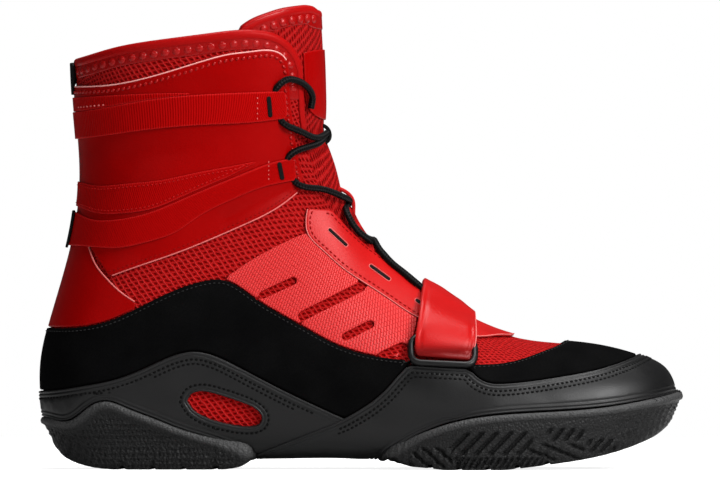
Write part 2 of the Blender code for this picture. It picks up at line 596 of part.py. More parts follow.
def build_leather():
    shaft = np.vstack((line("panel top"), line("panel low"), corner(-123.4, 103.0), corner(-150, 103.0)))
    panel("shaft_panel", LEATHER, shaft, "leather red")
    suede_edge = line("suede rear", EDGE_GAP)
    counter_floor = between(suede_edge, (-HALF_DEPTH * 2, LINES["counter front"][-1][0]))[::-1]
    counter = np.vstack((corner(-150, 102.4), corner(-124.0, 102.4), line("counter front"), counter_floor))
    panel("heel_counter", LEATHER, counter, "leather red")
    eyestay = np.vstack((line("eyestay low"), line("eyestay top")[::-1]))
    panel("eyestay", LEATHER, eyestay, "leather red")


def build_quarters():
    suede_edge = line("suede rear", EDGE_GAP)
    under = between(suede_edge, QUARTER_UNDER)[::-1]
    beside = between(line("eyestay low", -EDGE_GAP), QUARTER_BESIDE)
    outline = np.vstack((line("quarter top"), beside, corner(24.0, 60.0), under))
    vents = [vent_outline(vent) for vent in QUARTER_VENTS]
    outside = (-HALF_DEPTH, -QUARTER_PARTING)
    inside = (QUARTER_PARTING, HALF_DEPTH)
    panel("quarter_outer", LEATHER, outline, "embossed red", outside, vents)
    panel("quarter_inner", LEATHER, outline, "embossed red", inside, vents)


def build_webbing():
    upper = np.vstack((line("webbing upper top"), line("webbing upper low")))
    panel("webbing_upper", WEBBING, upper, "webbing red")
    lower = np.vstack((line("webbing lower top"), line("webbing lower low")))
    panel("webbing_lower", WEBBING, lower, "webbing red")
    webbing_top = line("webbing upper top", EDGE_GAP)
    strip_floor = between(webbing_top, (-HALF_DEPTH * 2, LINES["strip upper top"][-1][0]))[::-1]
    strip_upper = np.vstack((line("strip upper top"), strip_floor))
    panel("strip_upper", STRIP, strip_upper, "webbing red")
    strip_lower = np.vstack((line("strip lower top"), line("strip lower low", EDGE_GAP)))
    panel("strip_lower", STRIP, strip_lower, "webbing red")


def build_back_tapes():
    tab = np.vstack((corner(-160, 167.6), corner(-100, 168.6), corner(-100, 182.6), corner(-160, 182.6)))
    panel("pull_tab", PULL_TAB, tab, "cord black", (-PULL_TAB_HALF_WIDTH, PULL_TAB_HALF_WIDTH))
    keeper = np.vstack((corner(-160, 99.6), corner(-100, 99.6), corner(-100, 118.0), corner(-160, 118.0)))
    panel("strap_keeper", KEEPER, keeper, "cord black", (-KEEPER_HALF_WIDTH, KEEPER_HALF_WIDTH))


def strap_offset(extra):
    """The strap's height over the last: low at the sewn inner end, high over the ring outside."""
    def height(points, _):
        near, far = np.array(STRAP_LIFT) * GRADE[1]
        end = np.where(points[:, 1] < 0, STRAP_OVER_RING, STRAP_INNER_END)
        return STRAP_BASE + (end - STRAP_BASE) * eased(np.abs(points[:, 1]), near, far) + extra
    return height


def build_strap():
    item = form_object("instep_strap", strap_offset(STRAP_THICK), PARTS)
    outline = np.vstack((line("strap back edge"), line("strap front edge")))
    boolean(item, 'INTERSECT', outline_prism("instep_strap_outline", outline))
    boolean(item, 'DIFFERENCE', form_cutter(strap_offset(0.0), "strap"))
    return finish(item, "leather red")


def side_point(x, z, rise):
    """The point over the shoe's outer side that is seen at x, z, lifted off the last by the rise."""
    along = np.linspace(0.5, KNOTS[-1], SIDE_SEARCH[0])
    around = np.linspace(-np.pi + 0.001, SIDE_LOWEST, SIDE_SEARCH[1])
    grid_along, grid_around = (values.ravel() for values in np.meshgrid(along, around))
    points = last_face(grid_along, grid_around) + last_normals(grid_along, grid_around) * rise
    aim = np.array((x, z)) * GRADE[[0, 2]]
    return points[np.argmin(np.linalg.norm(points[:, [0, 2]] - aim, axis=1))]


def tube(name, points, thickness, material, closed=False):
    """A round cord or wire through points, as a closed mesh."""
    curve = bpy.data.curves.new(name, 'CURVE')
    curve.dimensions = '3D'
    curve.bevel_depth = thickness / 2 * MILLIMETRE
    curve.bevel_resolution = TUBE_ROUNDNESS
    curve.use_fill_caps = not closed
    spline = curve.splines.new('POLY')
    spline.points.add(len(points) - 1)
    for point, place in zip(spline.points, np.asarray(points) * MILLIMETRE):
        point.co = (*place, 1.0)
    spline.use_cyclic_u = closed
    guide = bpy.data.objects.new(name, curve)
    PARTS.objects.link(guide)
    return finish(curve_to_mesh(guide, PARTS), material)


def build_ring():
    """A rounded wire rectangle that lies over the outer side."""
    half_x = RING_SIZE[0] / 2
    half_z = RING_SIZE[1] / 2
    points = []
    for quarter, (sign_x, sign_z) in enumerate(((1, 1), (-1, 1), (-1, -1), (1, -1))):
        for turn in np.radians((0, 30, 60, 90)) + quarter * np.pi / 2:
            x = sign_x * (half_x - RING_CORNER) + RING_CORNER * np.cos(turn)
            z = sign_z * (half_z - RING_CORNER) + RING_CORNER * np.sin(turn) + RING_TILT * x
            points.append(side_point(RING_CENTRE[0] + x, RING_CENTRE[1] + z, RING_RISE))
    tube("strap_ring", points, RING_WIRE, "wire black", closed=True)


def lace_run(route):
    return [side_point(x, z, rise) for x, z, rise in route]


def over_tongue(place, lift):
    """A point on the shoe's middle line, moved forwards and up by the lift."""
    return np.array((place[0] * GRADE[0] + lift, 0.0, place[1] * GRADE[2] + lift))


def mirrored(points):
    return [point * np.array((1.0, -1.0, 1.0)) for point in points]


def joined_tubes(name, routes):
    """Lace runs that cross, joined into one solid."""
    first = None
    for number, route in enumerate(routes):
        label = name if first is None else f"{name}_run_{number}"
        piece = tube(label, route, LACE, "cord black")
        if first is None:
            first = piece
            continue
        PARTS.objects.unlink(piece)
        CUTTERS.objects.link(hide_cutter(piece))
        boolean(first, 'UNION', piece)


def lower_lace(lift):
    """One lace from the lower loop down the eyestay, from side to side over the tongue."""
    run = lace_run(LACE_LOOP_LOW) + [over_tongue(LACE_KNUCKLE, lift)] + mirrored(lace_run(LACE_EYESTAY))
    return run + [over_tongue(LACE_KNUCKLE_LOW, lift)] + lace_run(LACE_TAIL)


def build_laces():
    arc = lace_run(LACE_ARC)
    tube("lace_arc_outer", arc, LACE, "cord black")
    tube("lace_arc_inner", mirrored(arc), LACE, "cord black")
    upper = lace_run(LACE_UPPER)
    middle = lace_run(LACE_MIDDLE)
    crossing = upper + [over_tongue(LACE_CROSSING, LACE_OVER)] + mirrored(middle[::-1])
    crossing_under = mirrored(upper) + [over_tongue(LACE_CROSSING, -LACE_OVER)] + middle[::-1]
    joined_tubes("lace_crossing", (crossing, crossing_under))
    joined_tubes("lace_lower", (lower_lace(LACE_OVER), mirrored(lower_lace(-LACE_OVER))))


clear_scene()
PARTS = make_collection("boxing_shoe")
CUTTERS = make_collection("boxing_shoe_cutters")
MATERIALS = {name: make_material(name) for name in FINISHES}
build_upper()
build_tongue()
build_tongue_loops()
build_insole()
build_sole()
build_rands()
build_foxing()
build_leather()
build_quarters()
build_webbing()
build_back_tapes()
build_strap()
build_ring()
build_laces()
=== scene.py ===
import bpy
import numpy as np
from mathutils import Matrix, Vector


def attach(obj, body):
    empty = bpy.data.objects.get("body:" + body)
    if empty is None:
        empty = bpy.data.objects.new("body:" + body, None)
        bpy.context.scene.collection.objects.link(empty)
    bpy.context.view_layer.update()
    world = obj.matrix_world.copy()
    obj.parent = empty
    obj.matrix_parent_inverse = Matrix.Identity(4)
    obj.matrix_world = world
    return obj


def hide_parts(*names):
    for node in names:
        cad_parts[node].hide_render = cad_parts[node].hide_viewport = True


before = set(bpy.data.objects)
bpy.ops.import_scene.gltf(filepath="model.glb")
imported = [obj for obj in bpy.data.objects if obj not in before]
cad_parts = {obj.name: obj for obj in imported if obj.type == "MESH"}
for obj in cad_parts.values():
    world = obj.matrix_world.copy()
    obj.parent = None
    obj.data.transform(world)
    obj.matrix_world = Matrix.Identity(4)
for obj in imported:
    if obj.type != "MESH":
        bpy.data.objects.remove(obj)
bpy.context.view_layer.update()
mm = 0.001
print("frame loaded:", len(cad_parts), "nodes")

# The last, toe to collar, in mm: lowX lowZ topX topZ centreY outer inner widest lowSquare topSquare
lastSections = {
    "toe tip": (140.3, 34.0, 140.3, 34.0, 9.0, 0.0, 0.0, 0.50, 2.2, 2.2),
    "toe dome": (138.9, 28.0, 138.9, 40.0, 8.7, 11.5, 11.5, 0.47, 2.3, 2.2),
    "toe curve": (135.6, 23.6, 135.6, 44.6, 8.2, 21.0, 20.5, 0.44, 2.4, 2.1),
    "toe cap": (128.0, 19.3, 128.2, 48.6, 7.4, 31.0, 29.5, 0.40, 2.7, 2.1),
    "toe box": (112.0, 13.9, 112.8, 53.3, 5.5, 40.0, 37.5, 0.35, 3.1, 2.05),
    "toe joints": (95.0, 10.6, 97.0, 55.8, 3.5, 44.5, 42.0, 0.32, 3.4, 2.0),
    "ball front": (76.0, 8.3, 80.0, 57.4, 1.5, 47.0, 45.0, 0.30, 3.6, 1.95),
    "ball": (56.0, 6.6, 63.0, 61.4, 0.0, 48.5, 46.5, 0.29, 3.7, 1.9),
    "vamp": (35.0, 6.5, 45.5, 69.5, 0.0, 47.5, 42.5, 0.28, 3.7, 1.85),
    "waist front": (13.5, 6.1, 29.0, 80.8, 0.0, 44.5, 38.0, 0.28, 3.6, 1.85),
    "waist": (-8.0, 7.2, 15.0, 91.4, 0.0, 41.0, 35.0, 0.28, 3.5, 1.9),
    "waist back": (-31.5, 7.1, 4.5, 101.9, 0.0, 38.0, 33.5, 0.30, 3.4, 1.95),
    "instep": (-56.0, 6.8, -2.5, 112.7, 0.0, 36.0, 33.5, 0.33, 3.6, 2.0),
    "heel front": (-83.0, 6.5, -5.9, 122.6, 0.0, 35.0, 33.8, 0.34, 4.2, 2.0),
    "heel": (-108.0, 6.6, -7.8, 130.7, 0.0, 34.5, 34.0, 0.36, 4.2, 2.0),
    "heel edge": (-127.5, 8.6, -9.6, 137.5, 0.0, 34.5, 34.2, 0.38, 3.7, 2.0),
    "heel back": (-138.0, 16.6, -11.6, 143.3, 0.0, 34.7, 34.5, 0.41, 3.1, 2.0),
    "heel curve": (-142.2, 31.7, -13.6, 148.7, 0.0, 35.0, 34.8, 0.44, 2.7, 2.0),
    "counter": (-142.3, 48.8, -14.4, 153.7, 0.0, 35.4, 35.2, 0.46, 2.4, 2.0),
    "tendon": (-138.3, 66.8, -14.2, 159.0, 0.0, 36.0, 35.8, 0.47, 2.3, 2.0),
    "ankle": (-127.6, 106.4, -14.2, 171.2, 0.0, 37.0, 37.0, 0.49, 2.2, 2.0),
    "shaft low": (-125.1, 126.2, -14.4, 178.4, 0.0, 37.5, 37.5, 0.50, 2.1, 2.0),
    "shaft high": (-127.4, 168.0, -15.3, 197.3, 0.0, 39.2, 39.2, 0.50, 2.1, 2.0),
    "collar": (-128.3, 188.0, -15.8, 206.8, 0.0, 40.2, 40.2, 0.50, 2.1, 2.0),
    "above collar": (-128.8, 206.0, -16.0, 216.0, 0.0, 41.0, 41.0, 0.50, 2.1, 2.0),
}

# Cutting lines as seen from the side: x, z in mm
patternLines = {
    "collar": ((-150.0, 180.0), (-129.6, 183.2), (-111.0, 188.3), (-90.0, 191.9), (-67.5, 194.8),
               (-48.6, 196.4), (-40.0, 195.3), (-34.0, 192.5), (-29.0, 187.0), (-26.0, 179.0)),
    "throat": ((-25.2, 161.0), (-22.9, 143.3), (-18.9, 127.6), (-13.5, 116.8), (-8.7, 112.3), (-0.6, 104.3),
               (7.4, 97.6), (15.4, 91.2), (27.4, 81.0), (38.0, 73.4), (45.0, 70.2), (48.0, 72.0)),
    "tongue top": ((-54.0, 197.0), (-48.0, 201.0), (-40.0, 204.2), (-32.9, 206.3), (-25.7, 207.4),
                   (-21.0, 207.3), (-18.6, 205.6)),
    "tongue edge": ((59.4, 55.6), (40.5, 62.3), (18.0, 75.8), (-3.6, 92.9), (-21.6, 111.8), (-35.1, 136.6),
                    (-46.0, 165.8)),
    "suede rear": ((-150.0, 64.0), (-133.0, 63.5), (-117.0, 65.5), (-99.0, 72.9), (-77.4, 82.6),
                   (-68.0, 85.0), (-62.3, 85.3), (-57.0, 83.6), (-48.1, 77.6), (-25.3, 64.1),
                   (-11.2, 56.5), (0.0, 52.6), (20.0, 49.5), (36.0, 48.4)),
    "suede front": ((52.2, 47.6), (60.5, 47.8), (68.3, 48.9), (76.0, 51.1), (84.0, 54.0), (89.5, 56.2),
                    (93.0, 58.6), (95.5, 62.0)),
    "rand top": ((130.0, 53.6), (124.2, 51.0), (109.8, 45.9), (94.3, 42.6), (73.7, 39.6), (63.3, 38.8),
                 (57.1, 39.4), (53.1, 41.4), (49.4, 45.2)),
    "rand tab": ((46.0, 45.6), (21.5, 47.2)),
    "rand rear edge": ((16.0, 41.4), (11.7, 36.4), (1.4, 28.1), (-8.0, 22.6)),
    "rand tail": ((-13.0, 20.4), (-27.0, 14.7), (-47.0, 6.2)),
    "rand rear top": ((-150.0, 34.8), (-140.8, 35.2), (-124.8, 37.4), (-110.7, 40.2), (-95.4, 46.0),
                      (-82.4, 51.6), (-73.8, 53.0), (-65.2, 51.1), (-53.8, 45.7), (-34.8, 35.8),
                      (-8.5, 23.5)),
    "forefoot pod": ((7.0, 3.4), (11.2, 6.5), (18.0, 11.0), (24.8, 14.9), (31.5, 17.9), (38.2, 20.4),
                     (45.0, 22.2), (58.5, 24.4), (78.8, 25.9), (99.0, 27.0), (112.5, 28.3), (126.0, 30.4),
                     (139.5, 33.0), (150.0, 35.5)),
    "heel pod": ((-46.5, 4.2), (-51.8, 8.1), (-58.5, 11.0), (-72.0, 15.4), (-78.8, 17.4), (-92.2, 22.7),
                 (-105.8, 28.0), (-112.5, 30.4), (-118.0, 30.0), (-124.7, 25.8), (-132.3, 21.4),
                 (-139.5, 22.6), (-150.0, 23.0)),
    "tread": ((-146.0, 22.0), (-139.5, 12.8), (-133.5, 6.0), (-126.0, 2.4), (-117.0, 0.5), (-110.0, 0.0),
              (-62.0, 0.0), (-58.0, 0.4), (-53.0, 1.4), (-50.0, 2.2), (-47.0, 3.2), (-42.0, 4.2),
              (6.0, 3.8), (14.4, 2.5), (23.0, 1.5), (31.0, 0.8), (38.0, 0.0), (64.0, 0.0), (81.0, 1.9),
              (99.0, 4.4), (117.0, 8.6), (126.0, 11.8), (135.0, 16.4), (144.0, 25.5)),
    "panel top": ((-150.0, 172.0), (-128.9, 171.8), (-115.7, 172.1), (-100.0, 174.6), (-69.0, 183.6),
                  (-58.7, 186.2), (-48.4, 187.5), (-38.0, 187.6), (-34.2, 185.4), (-32.0, 181.0),
                  (-31.4, 172.6), (-29.4, 152.3), (-27.2, 138.0), (-25.2, 129.5)),
    "panel low": ((-27.0, 125.3), (-34.8, 119.0), (-53.8, 109.1), (-82.4, 97.2), (-101.2, 90.7),
                  (-112.6, 86.6)),
    "counter front": ((-121.8, 99.9), (-119.9, 94.4), (-117.5, 90.2), (-114.1, 86.2), (-108.9, 81.0),
                      (-99.5, 74.4)),
    "quarter top": ((-60.6, 85.9), (-49.1, 93.8), (-36.0, 101.0), (-24.4, 106.2)),
    "eyestay low": ((-23.5, 117.2), (-23.5, 106.3), (-16.7, 98.6), (-8.7, 91.4), (7.4, 80.6), (15.4, 75.2),
                    (25.1, 69.0), (38.2, 63.6), (52.0, 60.0), (58.0, 60.2), (64.0, 60.7), (70.0, 61.2),
                    (72.0, 66.0)),
    "eyestay top": ((-12.5, 116.6), (-8.2, 111.6), (-0.2, 103.6), (7.8, 96.9), (15.8, 90.5), (27.8, 80.3),
                    (38.0, 72.8), (45.0, 69.6), (49.0, 71.2)),
    "webbing upper top": ((-150.0, 160.0), (-129.8, 160.3), (-115.7, 162.2), (-95.0, 165.8), (-79.3, 167.6),
                          (-58.7, 168.8), (-33.2, 169.7)),
    "webbing upper low": ((-32.4, 157.6), (-48.4, 155.6), (-69.0, 154.6), (-89.7, 153.0), (-110.3, 150.4),
                          (-127.4, 148.3), (-150.0, 147.5)),
    "strip upper top": ((-150.0, 166.8), (-129.5, 166.9), (-110.3, 167.9), (-89.7, 168.7), (-72.0, 168.9)),
    "webbing lower top": ((-150.0, 116.5), (-128.9, 115.7), (-122.9, 112.9), (-110.3, 112.1), (-95.0, 115.2),
                          (-79.3, 121.5), (-48.4, 134.3), (-38.0, 138.0), (-29.2, 139.6)),
    "webbing lower low": ((-28.4, 129.8), (-43.2, 126.7), (-58.7, 120.4), (-72.1, 113.6), (-82.4, 106.6),
                          (-96.4, 101.9), (-108.9, 99.5), (-120.2, 100.0), (-150.0, 101.0)),
    "strip lower top": ((-150.0, 129.4), (-127.1, 129.2), (-120.7, 127.7), (-105.3, 128.2), (-89.7, 129.8),
                        (-74.2, 133.0), (-58.7, 135.9), (-45.0, 138.5)),
    "strip lower low": ((-60.0, 130.4), (-79.2, 122.2), (-94.0, 116.3), (-105.3, 114.6), (-120.7, 115.2),
                        (-127.0, 117.5), (-150.0, 118.2)),
    "strap back edge": ((31.0, 100.0), (29.0, 84.8), (26.1, 66.3), (24.9, 53.6)),
    "strap front edge": ((50.2, 51.6), (51.6, 56.0), (52.2, 63.0), (51.8, 72.0), (50.6, 90.0)),
    "oval window": ((-77.4, 30.8), (-75.6, 34.0), (-71.6, 35.2), (-65.2, 34.2), (-52.0, 29.8), (-46.0, 26.6),
                    (-44.0, 23.2), (-45.2, 20.4), (-49.0, 19.1), (-58.5, 20.2), (-72.0, 25.0), (-76.0, 27.8)),
    "tongue patch": ((-25.2, 187.0), (-10.0, 187.0), (-10.0, 157.0), (-19.0, 158.2), (-22.6, 161.6),
                     (-24.4, 168.0)),
}


# Curves and the last's surface
def cubicThrough(knots, rows):  # natural cubic, returned as a function of place
    rows = np.asarray(rows, float)
    steps = np.diff(knots)
    slopes = np.diff(rows, axis=0) / steps[:, None]
    system = np.eye(len(knots))
    turns = np.zeros_like(rows)
    for i in range(1, len(knots) - 1):
        system[i, i - 1:i + 2] = steps[i - 1], 2 * (steps[i - 1] + steps[i]), steps[i]
        turns[i] = 6 * (slopes[i] - slopes[i - 1])
    bends = np.linalg.solve(system, turns)

    def read(places):
        span = np.clip(np.searchsorted(knots, places, side="right") - 1, 0, len(steps) - 1)
        length = steps[span][:, None]
        ahead = (places - knots[span])[:, None] / length
        back = 1 - ahead
        curve = (back ** 3 - back) * bends[span] + (ahead ** 3 - ahead) * bends[span + 1]
        return back * rows[span] + ahead * rows[span + 1] + curve * length ** 2 / 6
    return read


def lastTable():  # two mirrored rows ahead of the toe let it close round
    rows = np.array(list(lastSections.values()))
    ahead = rows[[2, 1]][:, [2, 3, 0, 1, 4, 5, 6, 7, 9, 8]]
    ahead[:, 5:7] *= -1
    ahead[:, 7] = 1 - ahead[:, 7]
    rows = np.vstack((ahead, rows))
    moves = np.linalg.norm(np.diff(rows[:, :7], axis=0), axis=1) / np.sqrt(2.0)
    knots = np.concatenate(([0.0], np.cumsum(moves)))
    return knots - knots[2], rows


lastKnots, lastRowTable = lastTable()
lastCurve = cubicThrough(lastKnots, lastRowTable)


def sectionAt(name):  # place of a named section along the last
    return lastKnots[2 + list(lastSections).index(name)]


def lastFace(along, around):  # around is 0 underneath, pi on top, outer side below 0
    shape = np.shape(along)
    around = np.ravel(around)
    lowX, lowZ, topX, topZ, centre, outer, inner, widest, lowSquare, topSquare = lastCurve(np.ravel(along)).T
    c = np.cos(around)
    s = np.sin(around)
    power = np.where(c < 0, topSquare, lowSquare)
    reach = (np.abs(c) ** power + np.abs(s) ** power) ** (-1 / power)
    level = np.abs(c) * reach
    share = np.where(c < 0, widest + (1 - widest) * level, widest * (1 - level))
    y = centre + np.where(s < 0, -outer, inner) * np.abs(s) * reach
    return np.stack((lowX + (topX - lowX) * share, y, lowZ + (topZ - lowZ) * share), -1).reshape(*shape, 3)


def lastNormals(along, around, step=0.01):
    forward = lastFace(along + step, around) - lastFace(along - step, around)
    sideways = lastFace(along, around + step) - lastFace(along, around - step)
    normals = np.cross(forward, sideways)
    return normals / np.maximum(np.linalg.norm(normals, axis=-1, keepdims=True), 1e-9)


def eased(values, start, end):
    share = np.clip((values - start) / (end - start), 0.0, 1.0)
    return share * share * (3 - 2 * share)


def unit(vectors):
    return vectors / np.maximum(np.linalg.norm(vectors, axis=-1, keepdims=True), 1e-9)


def makeGrid(cell, start=0.0, end=None, shape=None):  # rings on the last, points spread evenly round each
    end = lastKnots[-1] if end is None else end
    along = np.linspace(start, end, int((end - start) / cell) + 2)
    angles = np.linspace(-np.pi, np.pi, 721)
    spread = np.broadcast_arrays(along[:, None], angles[None, :])
    dense = lastFace(*spread)
    if shape is not None:
        dense = shape(spread[0].ravel(), spread[1].ravel()).reshape(dense.shape)
    runs = np.concatenate((np.zeros((len(along), 1)),
                           np.cumsum(np.linalg.norm(np.diff(dense, axis=1), axis=2), axis=1)), axis=1)
    columns = int(runs[:, -1].max() / cell)
    share = np.arange(columns) / columns
    even = angles[0] + 2 * np.pi * share
    around = np.array([np.interp(share * run[-1], run, angles) if run[-1] > 0.5 else even for run in runs])
    return {"cell": cell, "start": start, "along": np.repeat(along[:, None], columns, axis=1),
            "around": around}


def clothTable():  # arc lengths on the outer half, for patterns that follow the surface
    along = np.linspace(0, lastKnots[-1], 260)
    around = np.linspace(0, np.pi, 91)
    points = lastFace(*np.broadcast_arrays(along[:, None], -around[None, :]))
    girth = np.zeros(points.shape[:2])
    girth[:, 1:] = np.cumsum(np.linalg.norm(np.diff(points, axis=1), axis=2), axis=1)
    length = np.zeros(points.shape[:2])
    length[1:] = np.cumsum(np.linalg.norm(np.diff(points, axis=0), axis=2), axis=0)
    return along, around, np.stack((girth, length), -1) * mm


clothAlong, clothAround, clothArcs = clothTable()


def clothCoords(along, around):
    turn = np.abs((around + np.pi) % (2 * np.pi) - np.pi)
    i = np.clip(along / clothAlong[-1] * (len(clothAlong) - 1), 0, len(clothAlong) - 1.001)
    j = np.clip(turn / np.pi * (len(clothAround) - 1), 0, len(clothAround) - 1.001)
    i0 = i.astype(int)
    j0 = j.astype(int)
    fi = (i - i0)[:, None]
    fj = (j - j0)[:, None]
    return ((1 - fi) * (1 - fj) * clothArcs[i0, j0] + fi * (1 - fj) * clothArcs[i0 + 1, j0]
            + (1 - fi) * fj * clothArcs[i0, j0 + 1] + fi * fj * clothArcs[i0 + 1, j0 + 1])


# Outlines in the side view
def runLengths(points):  # length of a path up to each of its points
    return np.concatenate(([0.0], np.cumsum(np.linalg.norm(np.diff(points, axis=0), axis=1))))


def smoothLine(points, step=1.5):
    points = np.asarray(points, float)
    if len(points) < 3:
        return points
    knots = runLengths(points)
    return cubicThrough(knots, points)(np.linspace(0, knots[-1], int(knots[-1] / step) + 2))


def line(name, rise=0.0):
    return smoothLine(patternLines[name]) + np.array((0.0, rise))


def corner(x, z):
    return np.array(((x, z),), float)


def between(edge, low, high):
    return edge[(edge[:, 0] > low) & (edge[:, 0] < high)]


def signedGap(points, outline):  # distance to the outline, above 0 inside it
    gap = np.full(len(points), -15.0)
    near = np.all((points > outline.min(0) - 14) & (points < outline.max(0) + 14), axis=1)
    start = outline
    run = np.roll(outline, -1, axis=0) - start
    keep = np.linalg.norm(run, axis=1) > 1e-6
    start, run = start[keep], run[keep]
    square = (run ** 2).sum(1)
    found = []
    for chunk in np.array_split(points[near], max(1, near.sum() // 6000)):
        offset = chunk[:, None, :] - start[None]
        share = np.clip((offset * run).sum(2) / square, 0, 1)
        away = np.linalg.norm(offset - share[..., None] * run, axis=2).min(1)
        z = chunk[:, 1][:, None]
        crosses = (start[:, 1] > z) != (start[:, 1] + run[:, 1] > z)
        with np.errstate(divide="ignore", invalid="ignore"):
            reach = start[:, 0] + (z - start[:, 1]) / run[:, 1] * run[:, 0]
        inside = (crosses & (chunk[:, 0][:, None] < reach)).sum(1) % 2 == 1
        found.append(np.where(inside, away, -away))
    if near.any():
        gap[near] = np.concatenate(found)
    return gap


def outlineGap(outline, holes=(), side=0, halfWidth=None, parting=1.0):
    def gapAt(points):
        flat = points[:, [0, 2]]
        gap = signedGap(flat, outline)
        for hole in holes:
            gap = np.minimum(gap, -signedGap(flat, hole))
        if side:
            gap = np.minimum(gap, side * points[:, 1] - parting)
        if halfWidth:
            gap = np.minimum(gap, halfWidth - np.abs(points[:, 1]))
        return gap
    return gapAt


def slotOutline(x, z, length, width, slope):  # long slot with round ends
    turns = np.radians(np.linspace(-90, 90, 9))
    slope = np.radians(slope)
    half, radius = (length - width) / 2, width / 2
    ends = [(end * (half + radius * np.cos(t)), end * radius * np.sin(t)) for end in (1, -1) for t in turns]
    return np.array([(x + a * np.cos(slope) - b * np.sin(slope), z + a * np.sin(slope) + b * np.cos(slope))
                     for a, b in ends])


# Skins: a stretch of the last's surface inside an outline, with a shaped edge
def panelPlace(low, high, relief=None):
    def place(along, around, lift=1.0, gap=None):
        points = lastFace(along, around)
        normals = lastNormals(along, around)
        bottom = low(points, normals) if callable(low) else low
        top = high(points, normals) if callable(high) else high
        height = bottom + (top - bottom) * lift
        if relief is not None and gap is not None:
            height = height + relief(points, gap) * np.clip(lift, 0, 1)
        return points + normals * np.broadcast_to(height, points.shape[:-1])[..., None]
    return place


def slideTo(place, gapAt, along, around, level, rounds=4, longest=1.6):
    along = along.copy()
    around = around.copy()
    stepAlong, stepAround = 0.02, 0.002
    for _ in range(rounds):
        here = place(along, around)
        ahead = place(along + stepAlong, around)
        beside = place(along, around + stepAround)
        gap = gapAt(here)
        gapU = (gapAt(ahead) - gap) / stepAlong
        gapV = (gapAt(beside) - gap) / stepAround
        u = (ahead - here) / stepAlong
        v = (beside - here) / stepAround
        uu, uv, vv = (u * u).sum(1), (u * v).sum(1), (v * v).sum(1)
        spread = np.maximum(uu * vv - uv ** 2, 1e-9)
        turnU = (vv * gapU - uv * gapV) / spread
        turnV = (uu * gapV - uv * gapU) / spread
        slope = np.sqrt(np.maximum(gapU * turnU + gapV * turnV, 0.01))
        wanted = level * slope - gap
        move = wanted / slope ** 2 * np.minimum(1, longest / np.maximum(np.abs(wanted) / slope, 1e-6))
        along += turnU * move
        around += turnV * move
    return along, around


def gridSlope(shown, gap):  # how fast the gap grows along the surface
    def across(values):
        return (np.roll(values, -1, 1) - np.roll(values, 1, 1)) / 2
    u, v = np.gradient(shown, axis=0), across(shown)
    gapU, gapV = np.gradient(gap, axis=0), across(gap)
    uu, uv, vv = (u * u).sum(2), (u * v).sum(2), (v * v).sum(2)
    spread = np.maximum(uu * vv - uv ** 2, 1e-9)
    square = (vv * gapU ** 2 - 2 * uv * gapU * gapV + uu * gapV ** 2) / spread
    return np.clip(np.sqrt(np.maximum(square, 0)), 0.2, 1.3)


def trimGrid(grid, place, gapAt, level):
    along = grid["along"].copy()
    around = grid["around"].copy()
    rows, columns = along.shape
    shown = place(along.ravel(), around.ravel()).reshape(rows, columns, 3)
    gap = gapAt(shown.reshape(-1, 3)).reshape(rows, columns)
    gap = gap / gridSlope(shown, gap)
    rise = gap - level
    near = np.abs(rise) < 0.28 * grid["cell"]
    near[0] = False
    along[near], around[near] = slideTo(place, gapAt, along[near], around[near], level)
    rise[near] = 0.0
    ids = np.arange(rows * columns).reshape(rows, columns)
    if grid["start"] == 0.0:
        ids[0] = 0
    after = np.roll(ids, -1, 1)
    cells = np.stack((ids[:-1], ids[1:], after[1:], after[:-1]), -1).reshape(-1, 4)
    riseAfter = np.roll(rise, -1, 1)
    rises = np.stack((rise[:-1], rise[1:], riseAfter[1:], riseAfter[:-1]), -1).reshape(-1, 4)
    some = (rises > 0).any(1)
    whole = some & (rises >= 0).all(1)
    polygons = [cell if cell[0] != cell[3] else cell[:3] for cell in cells[whole].tolist()]
    cutAt = {}
    cutEnds = []
    for cell, values in zip(cells[some & ~whole].tolist(), rises[some & ~whole].tolist()):
        polygon = []
        for k in range(4):
            a, b = cell[k], cell[(k + 1) % 4]
            ra, rb = values[k], values[(k + 1) % 4]
            if ra >= 0 and (not polygon or polygon[-1] != a):
                polygon.append(a)
            if ra * rb < 0 and a != b:
                key = (min(a, b), max(a, b))
                if key not in cutAt:
                    cutAt[key] = rows * columns + len(cutEnds)
                    cutEnds.append((a, b, ra / (ra - rb)))
                polygon.append(cutAt[key])
        if len(polygon) > 2 and len(set(polygon)) == len(polygon):
            polygons.append(polygon)
    allAlong, allAround, allGap = along.ravel(), around.ravel(), (rise + level).ravel()
    if cutEnds:
        a, b, share = (np.array(values) for values in zip(*cutEnds))
        turn = (allAround[b] - allAround[a] + np.pi) % (2 * np.pi) - np.pi
        cutAlong, cutAround = slideTo(place, gapAt, allAlong[a] + (allAlong[b] - allAlong[a]) * share,
                                      allAround[a] + turn * share, level, 3)
        allAlong = np.concatenate((allAlong, cutAlong))
        allAround = np.concatenate((allAround, cutAround))
        allGap = np.concatenate((allGap, np.full(len(a), level)))
    used = np.unique(np.concatenate([np.array(polygon) for polygon in polygons]))
    short = np.zeros(len(allAlong), int)
    short[used] = np.arange(len(used))
    polygons = [short[polygon].tolist() for polygon in polygons]
    return allAlong[used], allAround[used], allGap[used], polygons, edgeLoops(polygons)


def edgeLoops(polygons):
    edges = {(polygon[k - 1], polygon[k]) for polygon in polygons for k in range(len(polygon))}
    follow = {}
    for a, b in edges:
        if (b, a) not in edges:
            follow.setdefault(a, []).append(b)
    loops = []
    while follow:
        first = min(follow)
        loop = [first]
        while True:
            ways = follow[loop[-1]]
            step = ways.pop()
            if not ways:
                del follow[loop[-1]]
            if step == first or step not in follow:
                break
            loop.append(step)
        if len(loop) > 5:
            loops.append(np.array(loop))
    return loops


shoeHalfWidth = 37.0


